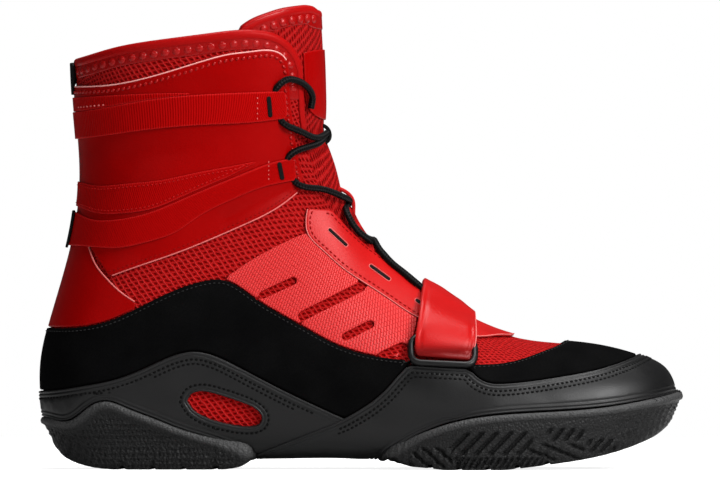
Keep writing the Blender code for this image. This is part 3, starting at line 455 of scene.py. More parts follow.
def paint(item, name, values):  # one number per point, read by a material
    layer = item.data.attributes.new(name, "FLOAT", "POINT")
    layer.data.foreach_set("value", np.asarray(values, np.float32))


def pointsOf(item):
    points = np.zeros(len(item.data.vertices) * 3)
    item.data.vertices.foreach_get("co", points)
    return points.reshape(-1, 3) / mm


def addObject(name, data):
    item = bpy.data.objects.new(name, data)
    bpy.context.scene.collection.objects.link(item)
    return item


def pieceName(node):
    return node.title().replace("_", "")


def meshObject(name, points, polygons, along=None, around=None, gap=None):
    mesh = bpy.data.meshes.new(name)
    mesh.from_pydata((np.asarray(points) * mm).tolist(), [], polygons)
    if along is not None:
        corners = np.zeros(len(mesh.loops), int)
        mesh.loops.foreach_get("vertex_index", corners)
        layer = mesh.uv_layers.new(name="cloth")
        layer.uv.foreach_set("vector", clothCoords(along, around)[corners].astype(np.float32).ravel())
        edge = mesh.attributes.new("edgeGap", "FLOAT", "POINT")
        edge.data.foreach_set("value", (gap * mm).astype(np.float32))
        normals = lastNormals(along, around)
        inward = shoeHalfWidth - np.abs(points[:, 1])
        knit = (points + normals * inward[:, None])[:, [0, 2]] * mm
        layer = mesh.uv_layers.new(name="knit")
        layer.uv.foreach_set("vector", knit[corners].astype(np.float32).ravel())
    mesh.validate()
    mesh.shade_smooth()
    return addObject(name, mesh)


def stripFaces(last, row):  # quads between two rows of a closed edge
    lastNext, rowNext = np.roll(last, -1), np.roll(row, -1)
    return np.stack((lastNext, last, row, rowNext), -1).tolist()


def buildSkin(name, grid, place, gapAt, edge):
    # edge rows run from the rim inwards: distance from the rim, share of the thickness
    inset = edge[-1][0]
    along, around, gap, polygons, loops = trimGrid(grid, place, gapAt, inset)
    points = [place(along, around, 1.0, gap)]
    rows = [(along, around, gap)]
    faces = list(polygons)
    rims, backs = [], []
    total = len(along)
    for loop in loops:
        rimAlong, rimAround = slideTo(place, gapAt, along[loop], around[loop], 0.0)
        rims.append((rimAlong, rimAround, along[loop], around[loop]))
        last = loop
        size = len(loop)
        for distance, lift in edge[-2::-1]:
            share = distance / inset
            rowAlong = rimAlong + (along[loop] - rimAlong) * share
            rowAround = rimAround + (around[loop] - rimAround) * share
            rowGap = np.full(size, float(distance))
            points.append(place(rowAlong, rowAround, lift, rowGap))
            rows.append((rowAlong, rowAround, rowGap))
            row = total + np.arange(size)
            total += size
            faces += stripFaces(last, row)
            last = row
        backs.append(last)
    points.append(place(along, around, 0.0, None))
    rows.append((along, around, gap))
    firstBack = len(faces)
    faces.extend([[total + v for v in polygon[::-1]] for polygon in polygons])
    for loop, last in zip(loops, backs):
        faces += stripFaces(last, total + loop)
    item = meshObject(name, np.vstack(points), faces, *(np.concatenate(values) for values in zip(*rows)))
    print("skin", name, len(item.data.polygons), "faces", len(loops), "edges")
    return item, rims, firstBack


def runsOf(mask):  # stretches of a closed loop where the mask holds
    if mask.all():
        return [np.arange(len(mask))], True
    starts = np.flatnonzero(mask & ~np.roll(mask, 1))
    runs = []
    for start in starts:
        run = []
        k = start
        while mask[k % len(mask)] and len(run) < len(mask):
            run.append(k % len(mask))
            k += 1
        if len(run) > 2:
            runs.append(np.array(run))
    return runs, False


def keptRuns(place, along, around, keep):  # the stretches of one loop that are kept
    points = place(along, around)
    normals = lastNormals(along, around)
    runs, closed = runsOf(keep(points))
    return [(points[run], normals[run], closed) for run in runs]


def levelPaths(grid, place, gapAt, level, keep):  # paths at one distance from an outline
    along, around, _, _, loops = trimGrid(grid, place, gapAt, level)
    return [path for loop in loops for path in keptRuns(place, along[loop], around[loop], keep)]


def rimPaths(rims, place, keep):  # paths along the rim itself
    return [path for edgeWearAndHighlight in rims for path in keptRuns(place, edgeWearAndHighlight[0], edgeWearAndHighlight[1], keep)]


# Shader helpers
def feed(tree, socket, value):  # a link, a colour or a plain value
    if isinstance(value, bpy.types.NodeSocket):
        tree.links.new(value, socket)
    else:
        socket.default_value = value


def addNode(tree, kind, values=None, **settings):
    node = tree.nodes.new(kind)
    for key, value in settings.items():
        setattr(node, key, value)
    for key, value in (values or {}).items():
        feed(tree, node.inputs[key], value)
    return node


def maths(tree, operation, a, b=0.0, c=0.0, clamp=False):
    return addNode(tree, "ShaderNodeMath", {0: a, 1: b, 2: c}, operation=operation,
                   use_clamp=clamp).outputs[0]


def shaderGroup(name, inputs, outputs):  # a number for each input, or None for a place
    tree = bpy.data.node_groups.new(name, "ShaderNodeTree")
    for label, value in inputs.items():
        kind = "NodeSocketVector" if value is None else "NodeSocketFloat"
        socket = tree.interface.new_socket(label, in_out="INPUT", socket_type=kind)
        if value is not None:
            socket.default_value = value
    for label in outputs:
        tree.interface.new_socket(label, in_out="OUTPUT", socket_type="NodeSocketFloat")
    return tree, tree.nodes.new("NodeGroupInput").outputs, tree.nodes.new("NodeGroupOutput").inputs


def noiseAt(tree, place, scale, detail=2.0):
    return addNode(tree, "ShaderNodeTexNoise", {"Vector": place, "Scale": scale, "Detail": detail}).outputs[0]


def paintedValue(tree, name):
    return addNode(tree, "ShaderNodeAttribute", attribute_name=name).outputs["Fac"]


def knitGroup():  # small dark holes on a skewed lattice with slanted ribs between them
    tree, start, end = shaderGroup("knitCells", {"Place": None, "Pitch": 0.0026, "Row": 0.0021, "Skew": 0.45,
                                                 "Hole": 0.23}, ("Height", "Gap", "Rib"))
    wobble = noiseAt(tree, start["Place"], 420.0)
    split = addNode(tree, "ShaderNodeSeparateXYZ", {0: start["Place"]})
    skewed = maths(tree, "MULTIPLY_ADD", split.outputs[1], start["Skew"], split.outputs[0])
    shake = maths(tree, "MULTIPLY_ADD", wobble, 0.55, -0.27)
    x = maths(tree, "ADD", maths(tree, "DIVIDE", skewed, start["Pitch"]), shake)
    y = maths(tree, "SUBTRACT", maths(tree, "DIVIDE", split.outputs[1], start["Row"]), shake)
    fx = maths(tree, "SUBTRACT", maths(tree, "FRACT", x), 0.5)
    fy = maths(tree, "SUBTRACT", maths(tree, "FRACT", y), 0.5)
    away = maths(tree, "SQRT", maths(tree, "ADD", maths(tree, "MULTIPLY", fx, fx),
                                     maths(tree, "MULTIPLY", fy, fy)))
    near = maths(tree, "MULTIPLY", start["Hole"], 0.5)
    far = maths(tree, "MULTIPLY", start["Hole"], 1.45)
    hole = addNode(tree, "ShaderNodeMapRange", {"Value": away, "From Min": near, "From Max": far,
                                                "To Min": 1.0, "To Max": 0.0},
                   interpolation_type="SMOOTHSTEP").outputs[0]
    rib = maths(tree, "POWER", maths(tree, "MULTIPLY", maths(tree, "ABSOLUTE", fx), 2.0), 5.0)
    cross = maths(tree, "POWER", maths(tree, "MULTIPLY", maths(tree, "ABSOLUTE", fy), 2.0), 5.0)
    rib = maths(tree, "MAXIMUM", rib, maths(tree, "MULTIPLY", cross, 0.5))
    fibre = noiseAt(tree, start["Place"], 1600.0)
    rib = maths(tree, "MULTIPLY", rib, maths(tree, "MULTIPLY_ADD", fibre, 1.0, 0.5), clamp=True)
    tree.links.new(hole, end["Gap"])
    tree.links.new(rib, end["Rib"])
    tree.links.new(maths(tree, "MULTIPLY_ADD", rib, 0.6, maths(tree, "SUBTRACT", 1.0, hole)), end["Height"])
    return tree


def grainGroup():  # fine pebbles of leather or rubber
    tree, start, end = shaderGroup("pebbleGrain", {"Place": None, "Size": 0.0009}, ("Height", "Shade"))
    scale = maths(tree, "DIVIDE", 1.0, start["Size"])
    cells = addNode(tree, "ShaderNodeTexVoronoi", {"Vector": start["Place"], "Scale": scale},
                    feature="SMOOTH_F1")
    cells.inputs["Smoothness"].default_value = 0.4
    noise = maths(tree, "MULTIPLY", noiseAt(tree, start["Place"], scale, 3.0), 0.6)
    tree.links.new(maths(tree, "SUBTRACT", noise, cells.outputs["Distance"]), end["Height"])
    tree.links.new(noiseAt(tree, start["Place"], 38.0, 4.0), end["Shade"])
    return tree


def ribGroup():  # woven ribs across a tape
    tree, start, end = shaderGroup("tapeRibs", {"Place": None, "Pitch": 0.0008}, ("Height",))
    split = addNode(tree, "ShaderNodeSeparateXYZ", {0: start["Place"]})
    turn = maths(tree, "MULTIPLY", split.outputs[0], 2 * np.pi)
    wave = maths(tree, "SINE", maths(tree, "DIVIDE", turn, start["Pitch"]))
    fine = noiseAt(tree, start["Place"], 2400.0, 1.0)
    tree.links.new(maths(tree, "MULTIPLY_ADD", fine, 0.8, wave), end["Height"])
    return tree


def weaveGroup():  # small bricks pressed in rows
    tree, start, end = shaderGroup("pressedWeave", {"Place": None, "Pitch": 0.0013}, ("Height",))
    split = addNode(tree, "ShaderNodeSeparateXYZ", {0: start["Place"]})
    x = maths(tree, "DIVIDE", split.outputs[0], maths(tree, "MULTIPLY", start["Pitch"], 1.7))
    y = maths(tree, "DIVIDE", split.outputs[1], start["Pitch"])
    row = maths(tree, "FLOOR", y)
    fx = maths(tree, "FRACT", maths(tree, "MULTIPLY_ADD", row, 0.5, x))
    fy = maths(tree, "FRACT", y)
    ex = maths(tree, "POWER", maths(tree, "ABSOLUTE", maths(tree, "MULTIPLY_ADD", fx, 2.0, -1.0)), 4.0)
    ey = maths(tree, "POWER", maths(tree, "ABSOLUTE", maths(tree, "MULTIPLY_ADD", fy, 2.0, -1.0)), 2.0)
    tree.links.new(maths(tree, "SUBTRACT", 1.0, maths(tree, "MAXIMUM", ex, ey), clamp=True), end["Height"])
    return tree


def edgeGroup():  # 1 at a rim and 0 past the reach
    tree, start, end = shaderGroup("rimMask", {"Reach": 0.001}, ("Mask",))
    share = maths(tree, "DIVIDE", paintedValue(tree, "edgeGap"), start["Reach"], clamp=True)
    tree.links.new(maths(tree, "SUBTRACT", 1.0, share), end["Mask"])
    return tree


groups = {"knit": knitGroup(), "grain": grainGroup(), "ribs": ribGroup(), "weave": weaveGroup(),
          "edgeWearAndHighlight": edgeGroup()}


def useGroup(tree, name, values):
    return addNode(tree, "ShaderNodeGroup", values, node_tree=groups[name]).outputs


def mixColour(tree, factor, a, b):
    node = addNode(tree, "ShaderNodeMix", data_type="RGBA")
    for socket, value in ((node.inputs[0], factor), (node.inputs[6], a), (node.inputs[7], b)):
        feed(tree, socket, (*value, 1.0) if isinstance(value, tuple) else value)
    return node.outputs[2]


def newMaterial(name, roughness, **plain):
    plain.setdefault("Specular_IOR_Level", looks.get(name, {}).get("shine", 0.2))
    plain.setdefault("Specular_Tint", looks.get(name, {}).get("tint", (1.0, 1.0, 1.0, 1.0)))
    material = bpy.data.materials.new(name)
    material.use_nodes = True
    tree = material.node_tree
    shader = tree.nodes["Principled BSDF"]
    shader.inputs["Roughness"].default_value = roughness
    for key, value in plain.items():
        shader.inputs[key.replace("_", " ")].default_value = value
    return material, tree, shader


def uvPlace(tree, name):
    return addNode(tree, "ShaderNodeUVMap", uv_map=name).outputs[0]


def objectPlace(tree):
    return addNode(tree, "ShaderNodeTexCoord").outputs["Object"]


def turned(tree, place, degrees):
    turn = (0, 0, np.radians(degrees))
    return addNode(tree, "ShaderNodeMapping", {"Vector": place, "Rotation": turn}).outputs[0]


def addBump(tree, shader, height, distance, strength=1.0, under=None):
    bump = addNode(tree, "ShaderNodeBump", {"Height": height, "Distance": distance, "Strength": strength})
    if under is not None:
        tree.links.new(under, bump.inputs["Normal"])
    tree.links.new(bump.outputs[0], shader.inputs["Normal"])
    return bump.outputs[0]


def range01(tree, value, low, high):
    return addNode(tree, "ShaderNodeMapRange", {"Value": value, "From Min": 0.3, "From Max": 0.7,
                                                "To Min": low, "To Max": high}).outputs[0]


redTint = (1.0, 0.22, 0.22, 1.0)
# the rim colour along edges is partly edge wear and partly a painted highlight
looks = {  # deep and bright are the two shades mixed, rim lies along edges
    "leatherRed": {"deep": (0.23, 0.0, 0.0), "bright": (0.31, 0.0, 0.0), "edgeWearAndHighlight": (0.42, 0.01, 0.01),
                   "shine": 0.16, "tint": redTint},
    # a lighter copy of the red leather: painted light for the front pieces
    "leatherLight": {"deep": (0.33, 0.003, 0.003), "bright": (0.46, 0.007, 0.007), "edgeWearAndHighlight": (0.50, 0.03, 0.03),
                     "shine": 0.28, "tint": (1.0, 0.4, 0.4, 1.0)},
    "leatherGloss": {"deep": (0.22, 0.0, 0.0), "bright": (0.30, 0.0, 0.0), "edgeWearAndHighlight": (0.42, 0.01, 0.01),
                     "shine": 0.35, "tint": (1.0, 0.55, 0.55, 1.0)},
    "meshRed": {"deep": (0.15, 0.001, 0.001), "low": (0.31, 0.002, 0.002), "bright": (0.50, 0.026, 0.026),
                "shine": 0.05},
    "embossedRed": {"deep": (0.38, 0.002, 0.002), "bright": (0.62, 0.030, 0.030), "shine": 0.2},
    "webbingRed": {"deep": (0.23, 0.0, 0.0), "bright": (0.42, 0.002, 0.002), "edgeWearAndHighlight": (0.55, 0.015, 0.015),
                   "shine": 0.06, "tint": redTint},
    "tapeBlack": {"deep": (0.0015, 0.0015, 0.0016), "bright": (0.006, 0.006, 0.0062),
                  "edgeWearAndHighlight": (0.010, 0.010, 0.0102), "shine": 0.05},
    "liningRed": {"deep": (0.16, 0.002, 0.002), "bright": (0.28, 0.004, 0.004), "shine": 0.02},
    "suedeBlack": {"deep": (0.0013, 0.0013, 0.0014), "bright": (0.0042, 0.0042, 0.0043), "shine": 0.01},
    "randBlack": {"deep": (0.004, 0.004, 0.0042), "bright": (0.007, 0.007, 0.0072),
                  "edgeWearAndHighlight": (0.022, 0.022, 0.0225), "shine": 0.26},
    # rubberBlack: the groove colour is painted shade inside the side grooves
    "rubberBlack": {"deep": (0.0035, 0.0035, 0.0037), "bright": (0.0075, 0.0075, 0.0077),
                    "edgeWearAndHighlight": (0.075, 0.075, 0.0755), "groove": (0.0008, 0.0008, 0.0008), "shine": 0.24},
    "cordBlack": {"deep": (0.0006, 0.0006, 0.0007), "bright": (0.017, 0.017, 0.0173), "shine": 0.06},
    "wireBlack": {"deep": (0.002, 0.002, 0.0022), "bright": (0.004, 0.004, 0.0042), "shine": 0.25},
    "footbedBlack": {"deep": (0.002, 0.002, 0.0022), "bright": (0.007, 0.007, 0.0072), "shine": 0.03},
    "pipingPale": {"deep": (0.72, 0.22, 0.21), "bright": (0.92, 0.46, 0.43), "shine": 0.2},
    "pipingPink": {"deep": (0.50, 0.07, 0.065), "bright": (0.70, 0.18, 0.17), "shine": 0.2},
    "threadRed": {"deep": (0.30, 0.002, 0.002), "bright": (0.55, 0.02, 0.02), "shine": 0.05},
    "threadDark": {"deep": (0.2, 0.003, 0.003), "bright": (0.3, 0.006, 0.006), "shine": 0.03},
    "threadBlack": {"deep": (0.0008, 0.0008, 0.0008), "bright": (0.0022, 0.0022, 0.0022), "shine": 0.1},
    "threadGrey": {"deep": (0.012, 0.012, 0.012), "bright": (0.03, 0.03, 0.03), "shine": 0.05},
}


def leatherMaterial(name, size, depth, roughness, rimReach):
    look = looks[name]
    material, tree, shader = newMaterial(name, roughness, Coat_Roughness=0.3)
    place = objectPlace(tree)
    grain = useGroup(tree, "grain", {"Place": place, "Size": size})
    colour = mixColour(tree, grain["Shade"], look["deep"], look["bright"])
    # lighter edges: partly edge wear, partly a painted highlight
    edgeWearAndHighlight = useGroup(tree, "edgeWearAndHighlight", {"Reach": rimReach})["Mask"]
    edgeWearAndHighlight = maths(tree, "MULTIPLY", maths(tree, "POWER", edgeWearAndHighlight, 2.0), 0.3)
    colour = mixColour(tree, edgeWearAndHighlight, colour, look["edgeWearAndHighlight"])
    # painted shade: where foldShade is painted, the colour darkens to a near-black red
    paintedFoldShade = paintedValue(tree, "foldShade")
    colour = mixColour(tree, maths(tree, "MULTIPLY", paintedFoldShade, 0.6), colour, look["deep"])
    colour = mixColour(tree, maths(tree, "MULTIPLY", paintedFoldShade, 0.7), colour, (0.03, 0.0, 0.0))
    tree.links.new(colour, shader.inputs["Base Color"])
    rough = range01(tree, grain["Shade"], roughness - 0.06, roughness + 0.08)
    tree.links.new(rough, shader.inputs["Roughness"])
    addBump(tree, shader, grain["Height"], depth, 0.6)
    return material


def meshMaterial(name, pitch, row, skew, turn):
    look = looks["meshRed"]
    material, tree, shader = newMaterial(name, 0.6, Specular_IOR_Level=look["shine"], Specular_Tint=redTint)
    place = turned(tree, uvPlace(tree, "knit"), turn)
    knit = useGroup(tree, "knit", {"Place": place, "Pitch": pitch, "Row": row, "Skew": skew})
    bright = mixColour(tree, knit["Rib"], look["low"], look["bright"])
    colour = mixColour(tree, knit["Gap"], bright, look["deep"])
    under = paintedValue(tree, "underBlack")
    tree.links.new(mixColour(tree, under, colour, looks["suedeBlack"]["bright"]), shader.inputs["Base Color"])
    addBump(tree, shader, knit["Height"], 0.0007, 0.9)
    return material


def embossedMaterial(name):
    look = looks[name]
    material, tree, shader = newMaterial(name, 0.42)
    place = turned(tree, uvPlace(tree, "cloth"), 12)
    weave = useGroup(tree, "weave", {"Place": place, "Pitch": 0.0014})["Height"]
    colour = mixColour(tree, weave, look["deep"], look["bright"])
    tree.links.new(colour, shader.inputs["Base Color"])
    addBump(tree, shader, weave, 0.00025, 0.8)
    return material


def webbingMaterial(name):
    look = looks[name]
    material, tree, shader = newMaterial(name, 0.5)
    ribs = useGroup(tree, "ribs", {"Place": uvPlace(tree, "cloth"), "Pitch": 0.0012})["Height"]
    share = maths(tree, "MULTIPLY_ADD", ribs, 0.25, 0.4, clamp=True)
    colour = mixColour(tree, share, look["deep"], look["bright"])
    # lighter edges: partly edge wear, partly a painted highlight
    edgeWearAndHighlight = useGroup(tree, "edgeWearAndHighlight", {"Reach": 0.0009})["Mask"]
    tree.links.new(mixColour(tree, maths(tree, "MULTIPLY", edgeWearAndHighlight, 0.5), colour, look["edgeWearAndHighlight"]),
                   shader.inputs["Base Color"])
    addBump(tree, shader, ribs, 0.00012, 0.7)
    return material


def napMaterial(name, scale, depth, roughness, sheen):
    look = looks[name]
    material, tree, shader = newMaterial(name, roughness, Sheen_Weight=sheen, Sheen_Roughness=0.5)
    place = objectPlace(tree)
    fine = noiseAt(tree, place, scale, 5.0)
    broad = noiseAt(tree, place, scale / 30, 3.0)
    shade = maths(tree, "MULTIPLY", fine, maths(tree, "MULTIPLY", broad, 2.0), clamp=True)
    tree.links.new(mixColour(tree, shade, look["deep"], look["bright"]), shader.inputs["Base Color"])
    addBump(tree, shader, fine, depth, 0.6)
    return material


def rubberMaterial(name):
    look = looks[name]
    material, tree, shader = newMaterial(name, 0.55)
    place = objectPlace(tree)
    grain = useGroup(tree, "grain", {"Place": place, "Size": 0.0011})
    groove = paintedValue(tree, "groove")
    height = maths(tree, "MULTIPLY_ADD", groove, -1.6, grain["Height"])
    edgeWearAndHighlight = useGroup(tree, "edgeWearAndHighlight", {"Reach": 0.0045})["Mask"]
    colour = mixColour(tree, grain["Shade"], look["deep"], look["bright"])
    # painted shade: the colour darkens inside the grooves
    colour = mixColour(tree, maths(tree, "MULTIPLY", groove, 0.7), colour, look["groove"])
    # painted highlight: the lip's top edge is lightened in the colour
    tree.links.new(mixColour(tree, maths(tree, "MULTIPLY", edgeWearAndHighlight, 0.6), colour, look["edgeWearAndHighlight"]),
                   shader.inputs["Base Color"])
    rough = range01(tree, grain["Shade"], 0.46, 0.62)
    tree.links.new(maths(tree, "MULTIPLY_ADD", groove, 0.3, rough), shader.inputs["Roughness"])
    addBump(tree, shader, height, 0.0007, 0.7)
    return material


def cordMaterial(name):
    look = looks[name]
    material, tree, shader = newMaterial(name, 0.5)
    split = addNode(tree, "ShaderNodeSeparateXYZ", {0: uvPlace(tree, "braid")})
    along = maths(tree, "MULTIPLY", split.outputs[0], 5200.0)
    around = maths(tree, "MULTIPLY", split.outputs[1], 4 * np.pi)
    one = maths(tree, "SINE", maths(tree, "ADD", along, around))
    two = maths(tree, "SINE", maths(tree, "SUBTRACT", along, around))
    # painted highlight: five pale lines run along the lace
    wave = maths(tree, "SINE", maths(tree, "MULTIPLY", split.outputs[1], 10 * np.pi))
    paintedHighlightLines = maths(tree, "POWER", maths(tree, "MULTIPLY_ADD", wave, 0.5, 0.5), 4.0)
    height = maths(tree, "MAXIMUM", one, two)
    base = maths(tree, "MULTIPLY_ADD", height, 0.12, 0.1)
    shade = maths(tree, "MULTIPLY_ADD", paintedHighlightLines, 0.8, base, clamp=True)
    tree.links.new(mixColour(tree, shade, look["deep"], look["bright"]), shader.inputs["Base Color"])
    addBump(tree, shader, height, 0.0003, 0.7)
    return material


def plainMaterial(name, roughness, scale, depth):
    look = looks[name]
    material, tree, shader = newMaterial(name, roughness)
    noise = noiseAt(tree, objectPlace(tree), scale, 3.0)
    tree.links.new(mixColour(tree, noise, look["deep"], look["bright"]), shader.inputs["Base Color"])
    tree.links.new(range01(tree, noise, roughness - 0.05, roughness + 0.05), shader.inputs["Roughness"])
    addBump(tree, shader, noise, depth, 0.5)
    return material


fineGrain = {"size": 0.0008, "depth": 0.00006}
fineThread = {"scale": 2500.0, "depth": 0.0001}
pipe = {"roughness": 0.42, "scale": 500.0, "depth": 0.00003}
recipes = {
    "leatherRed": (leatherMaterial, {"roughness": 0.36, "rimReach": 0.0011, **fineGrain}),
    "leatherLight": (leatherMaterial, {"roughness": 0.34, "rimReach": 0.0009, **fineGrain}),
    "leatherGloss": (leatherMaterial, {"roughness": 0.28, "rimReach": 0.0009, **fineGrain}),
    "randBlack": (leatherMaterial, {"roughness": 0.40, "rimReach": 0.0030, "size": 0.0007, "depth": 0.00005}),
    "meshRed": (meshMaterial, {"pitch": 0.0026, "row": 0.0021, "skew": 0.45, "turn": -13.0}),
    "tongueMesh": (meshMaterial, {"pitch": 0.0022, "row": 0.0034, "skew": -0.5, "turn": -30.0}),
    "embossedRed": (embossedMaterial, {}),
    "webbingRed": (webbingMaterial, {}),
    "tapeBlack": (webbingMaterial, {}),
    "suedeBlack": (napMaterial, {"scale": 1900.0, "depth": 0.0002, "roughness": 0.95, "sheen": 0.0}),
    "footbedBlack": (napMaterial, {"scale": 1500.0, "depth": 0.0002, "roughness": 0.95, "sheen": 0.1}),
    "rubberBlack": (rubberMaterial, {}),
    "cordBlack": (cordMaterial, {}),
    "wireBlack": (plainMaterial, {"roughness": 0.38, "scale": 300.0, "depth": 0.00002}),
    "pipingPale": (plainMaterial, pipe),
    "pipingPink": (plainMaterial, pipe),
    "threadRed": (plainMaterial, {"roughness": 0.6, **fineThread}),
    "threadDark": (plainMaterial, {"roughness": 0.7, **fineThread}),
    "threadBlack": (plainMaterial, {"roughness": 0.7, **fineThread}),
    "threadGrey": (plainMaterial, {"roughness": 0.7, **fineThread}),
    "liningRed": (napMaterial, {"scale": 1700.0, "depth": 0.0002, "roughness": 0.9, "sheen": 0.03}),
}
materials = {name: make(name, **sizes) for name, (make, sizes) in recipes.items()}
print("materials made:", len(materials))


def finishPiece(item, look, slot, *nodes):
    item.data.materials.clear()
    item.data.materials.append(materials[look])
    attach(item, "root")
    if nodes:
        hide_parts(*nodes)
    return item


# Geometry Nodes: rows of small raised dots or stitches, and round piping, along paths
def pathObject(name, paths):
    points, outs, edges = [], [], []
    for path, normals, closed in paths:
        first = sum(len(p) for p in points)
        points.append(path)
        outs.append(normals)
        edges += [(first + k, first + k + 1) for k in range(len(path) - 1)]
        if closed:
            edges.append((first + len(path) - 1, first))
    mesh = bpy.data.meshes.new(name)
    mesh.from_pydata((np.vstack(points) * mm).tolist(), edges, [])
    out = mesh.attributes.new("out", "FLOAT_VECTOR", "POINT")
    out.data.foreach_set("vector", np.vstack(outs).astype(np.float32).ravel())
    return addObject(name, mesh)


def nodeTree(name, inputs):
    tree = bpy.data.node_groups.new(name, "GeometryNodeTree")
    tree.interface.new_socket("Geometry", in_out="INPUT", socket_type="NodeSocketGeometry")
    for label, kind in inputs.items():
        tree.interface.new_socket(label, in_out="INPUT", socket_type="NodeSocket" + kind)
    tree.interface.new_socket("Geometry", in_out="OUTPUT", socket_type="NodeSocketGeometry")
    return tree, tree.nodes.new("NodeGroupInput").outputs, tree.nodes.new("NodeGroupOutput").inputs


def endTree(tree, geometry, material, end):
    whole = addNode(tree, "GeometryNodeRealizeInstances", {0: geometry}).outputs[0]
    smooth = addNode(tree, "GeometryNodeSetShadeSmooth", {0: whole}).outputs[0]
    painted = addNode(tree, "GeometryNodeSetMaterial", {"Geometry": smooth, "Material": material}).outputs[0]
    tree.links.new(painted, end[0])


def raiseOut(tree, geometry, rise):  # moves points along their own outward direction
    out = addNode(tree, "GeometryNodeInputNamedAttribute", {"Name": "out"},
                  data_type="FLOAT_VECTOR").outputs[0]
    shift = addNode(tree, "ShaderNodeVectorMath", {0: out, "Scale": rise}, operation="SCALE").outputs[0]
    return out, addNode(tree, "GeometryNodeSetPosition", {"Geometry": geometry, "Offset": shift}).outputs[0]


def dotTree():
    tree, start, end = nodeTree("dotRow", {"Spacing": "Float", "Size": "Vector", "Rise": "Float",
                                           "Turn": "Float", "Material": "Material"})
    curve = addNode(tree, "GeometryNodeMeshToCurve", {0: start["Geometry"]}).outputs[0]
    even = addNode(tree, "GeometryNodeResampleCurve", {"Curve": curve, "Length": start["Spacing"]},
                   mode="LENGTH").outputs[0]
    spots = addNode(tree, "GeometryNodeCurveToPoints", {"Curve": even}, mode="EVALUATED").outputs
    out, raised = raiseOut(tree, spots["Points"], start["Rise"])
    facing = addNode(tree, "FunctionNodeAxesToRotation",
                     {"Primary Axis": out, "Secondary Axis": spots["Tangent"]},
                     primary_axis="Z", secondary_axis="X").outputs[0]
    spin = addNode(tree, "ShaderNodeCombineXYZ", {"Z": start["Turn"]}).outputs[0]
    turnedBy = addNode(tree, "FunctionNodeRotateRotation", {"Rotation": facing, "Rotate By": spin},
                       rotation_space="LOCAL").outputs[0]
    bead = addNode(tree, "GeometryNodeMeshUVSphere", {"Segments": 8, "Rings": 5, "Radius": 0.5}).outputs[0]
    beads = addNode(tree, "GeometryNodeInstanceOnPoints", {"Points": raised, "Instance": bead,
                                                           "Rotation": turnedBy,
                                                           "Scale": start["Size"]}).outputs[0]
    endTree(tree, beads, start["Material"], end)
    return tree


def pipeTree():
    tree, start, end = nodeTree("pipeRun", {"Radius": "Float", "Rise": "Float", "Material": "Material"})
    _, raised = raiseOut(tree, start["Geometry"], start["Rise"])
    curve = addNode(tree, "GeometryNodeMeshToCurve", {0: raised}).outputs[0]
    ring = addNode(tree, "GeometryNodeCurvePrimitiveCircle", {"Resolution": 8, "Radius": start["Radius"]},
                   mode="RADIUS").outputs[0]
    pipe = addNode(tree, "GeometryNodeCurveToMesh",
                   {"Curve": curve, "Profile Curve": ring, "Fill Caps": True}).outputs[0]
    endTree(tree, pipe, start["Material"], end)
    return tree


trees = {"dots": dotTree(), "pipe": pipeTree()}


def runTree(guide, tree, values):  # evaluate once, keep the plain mesh
    modifier = guide.modifiers.new("run", "NODES")
    modifier.node_group = trees[tree]
    for socket in trees[tree].interface.items_tree:
        if socket.in_out == "INPUT" and socket.name in values:
            modifier[socket.identifier] = values[socket.name]
    bpy.context.view_layer.update()
    mesh = bpy.data.meshes.new_from_object(guide.evaluated_get(bpy.context.evaluated_depsgraph_get()))
    name = guide.name
    bpy.data.objects.remove(guide, do_unlink=True)
    mesh.name = name
    return addObject(name, mesh)


def stitchPiece(name, paths, look, slot, spacing=2.1, size=(1.5, 0.55, 0.5), rise=0.1, turn=0.0):
    item = runTree(pathObject(name, paths), "dots", {
        "Spacing": spacing * mm, "Size": tuple(length * mm for length in size), "Rise": rise * mm,
        "Turn": np.radians(turn), "Material": materials[look]})
    print("stitches", name, len(item.data.polygons))
    return finishPiece(item, look, slot)


def pipePiece(name, paths, look, slot, radius, rise):
    item = runTree(pathObject(name, paths), "pipe", {"Radius": radius * mm, "Rise": rise * mm,
                                                     "Material": materials[look]})
    return finishPiece(item, look, slot)


# Soft troughs and ridges, given one by one: x0 z0 x1 z1 width height
creases = {
    "shaft": ((-60.0, 112.0, -34.0, 125.0, 3.2, -0.5), (-104.0, 140.0, -60.0, 146.0, 6.0, -0.5),
              (-118.0, 96.0, -96.0, 97.0, 4.0, -0.35), (-100.0, 179.0, -60.0, 178.0, 5.0, 0.3)),
    "vamp": ((62.0, 58.0, 78.0, 49.0, 2.6, -0.5), (70.0, 58.0, 88.0, 51.0, 2.4, -0.35)),
    "rand": ((60.0, 36.0, 74.0, 26.0, 4.5, -0.15), (78.0, 36.0, 88.0, 27.0, 4.0, -0.12)),
    "suede": ((-30.0, 58.0, -6.0, 40.0, 6.0, 0.35), (-120.0, 52.0, -98.0, 60.0, 6.0, -0.35)),
}


def creaseHeight(name, points):
    flat = points[:, [0, 2]]
    height = np.zeros(len(points))
    for x0, z0, x1, z1, width, rise in creases[name]:
        start = np.array((x0, z0))
        run = np.array((x1, z1)) - start
        share = np.clip(((flat - start) @ run) / (run @ run), 0, 1)
        away = np.linalg.norm(flat - start - share[:, None] * run, axis=1)
        height += rise * np.exp(-(away / width) ** 2)
    return height


clear = 0.3
edgeGapRise = 0.5
skinGrid = makeGrid(1.7)
upperGrid = makeGrid(2.4)
print("grids:", skinGrid["along"].shape, upperGrid["along"].shape)

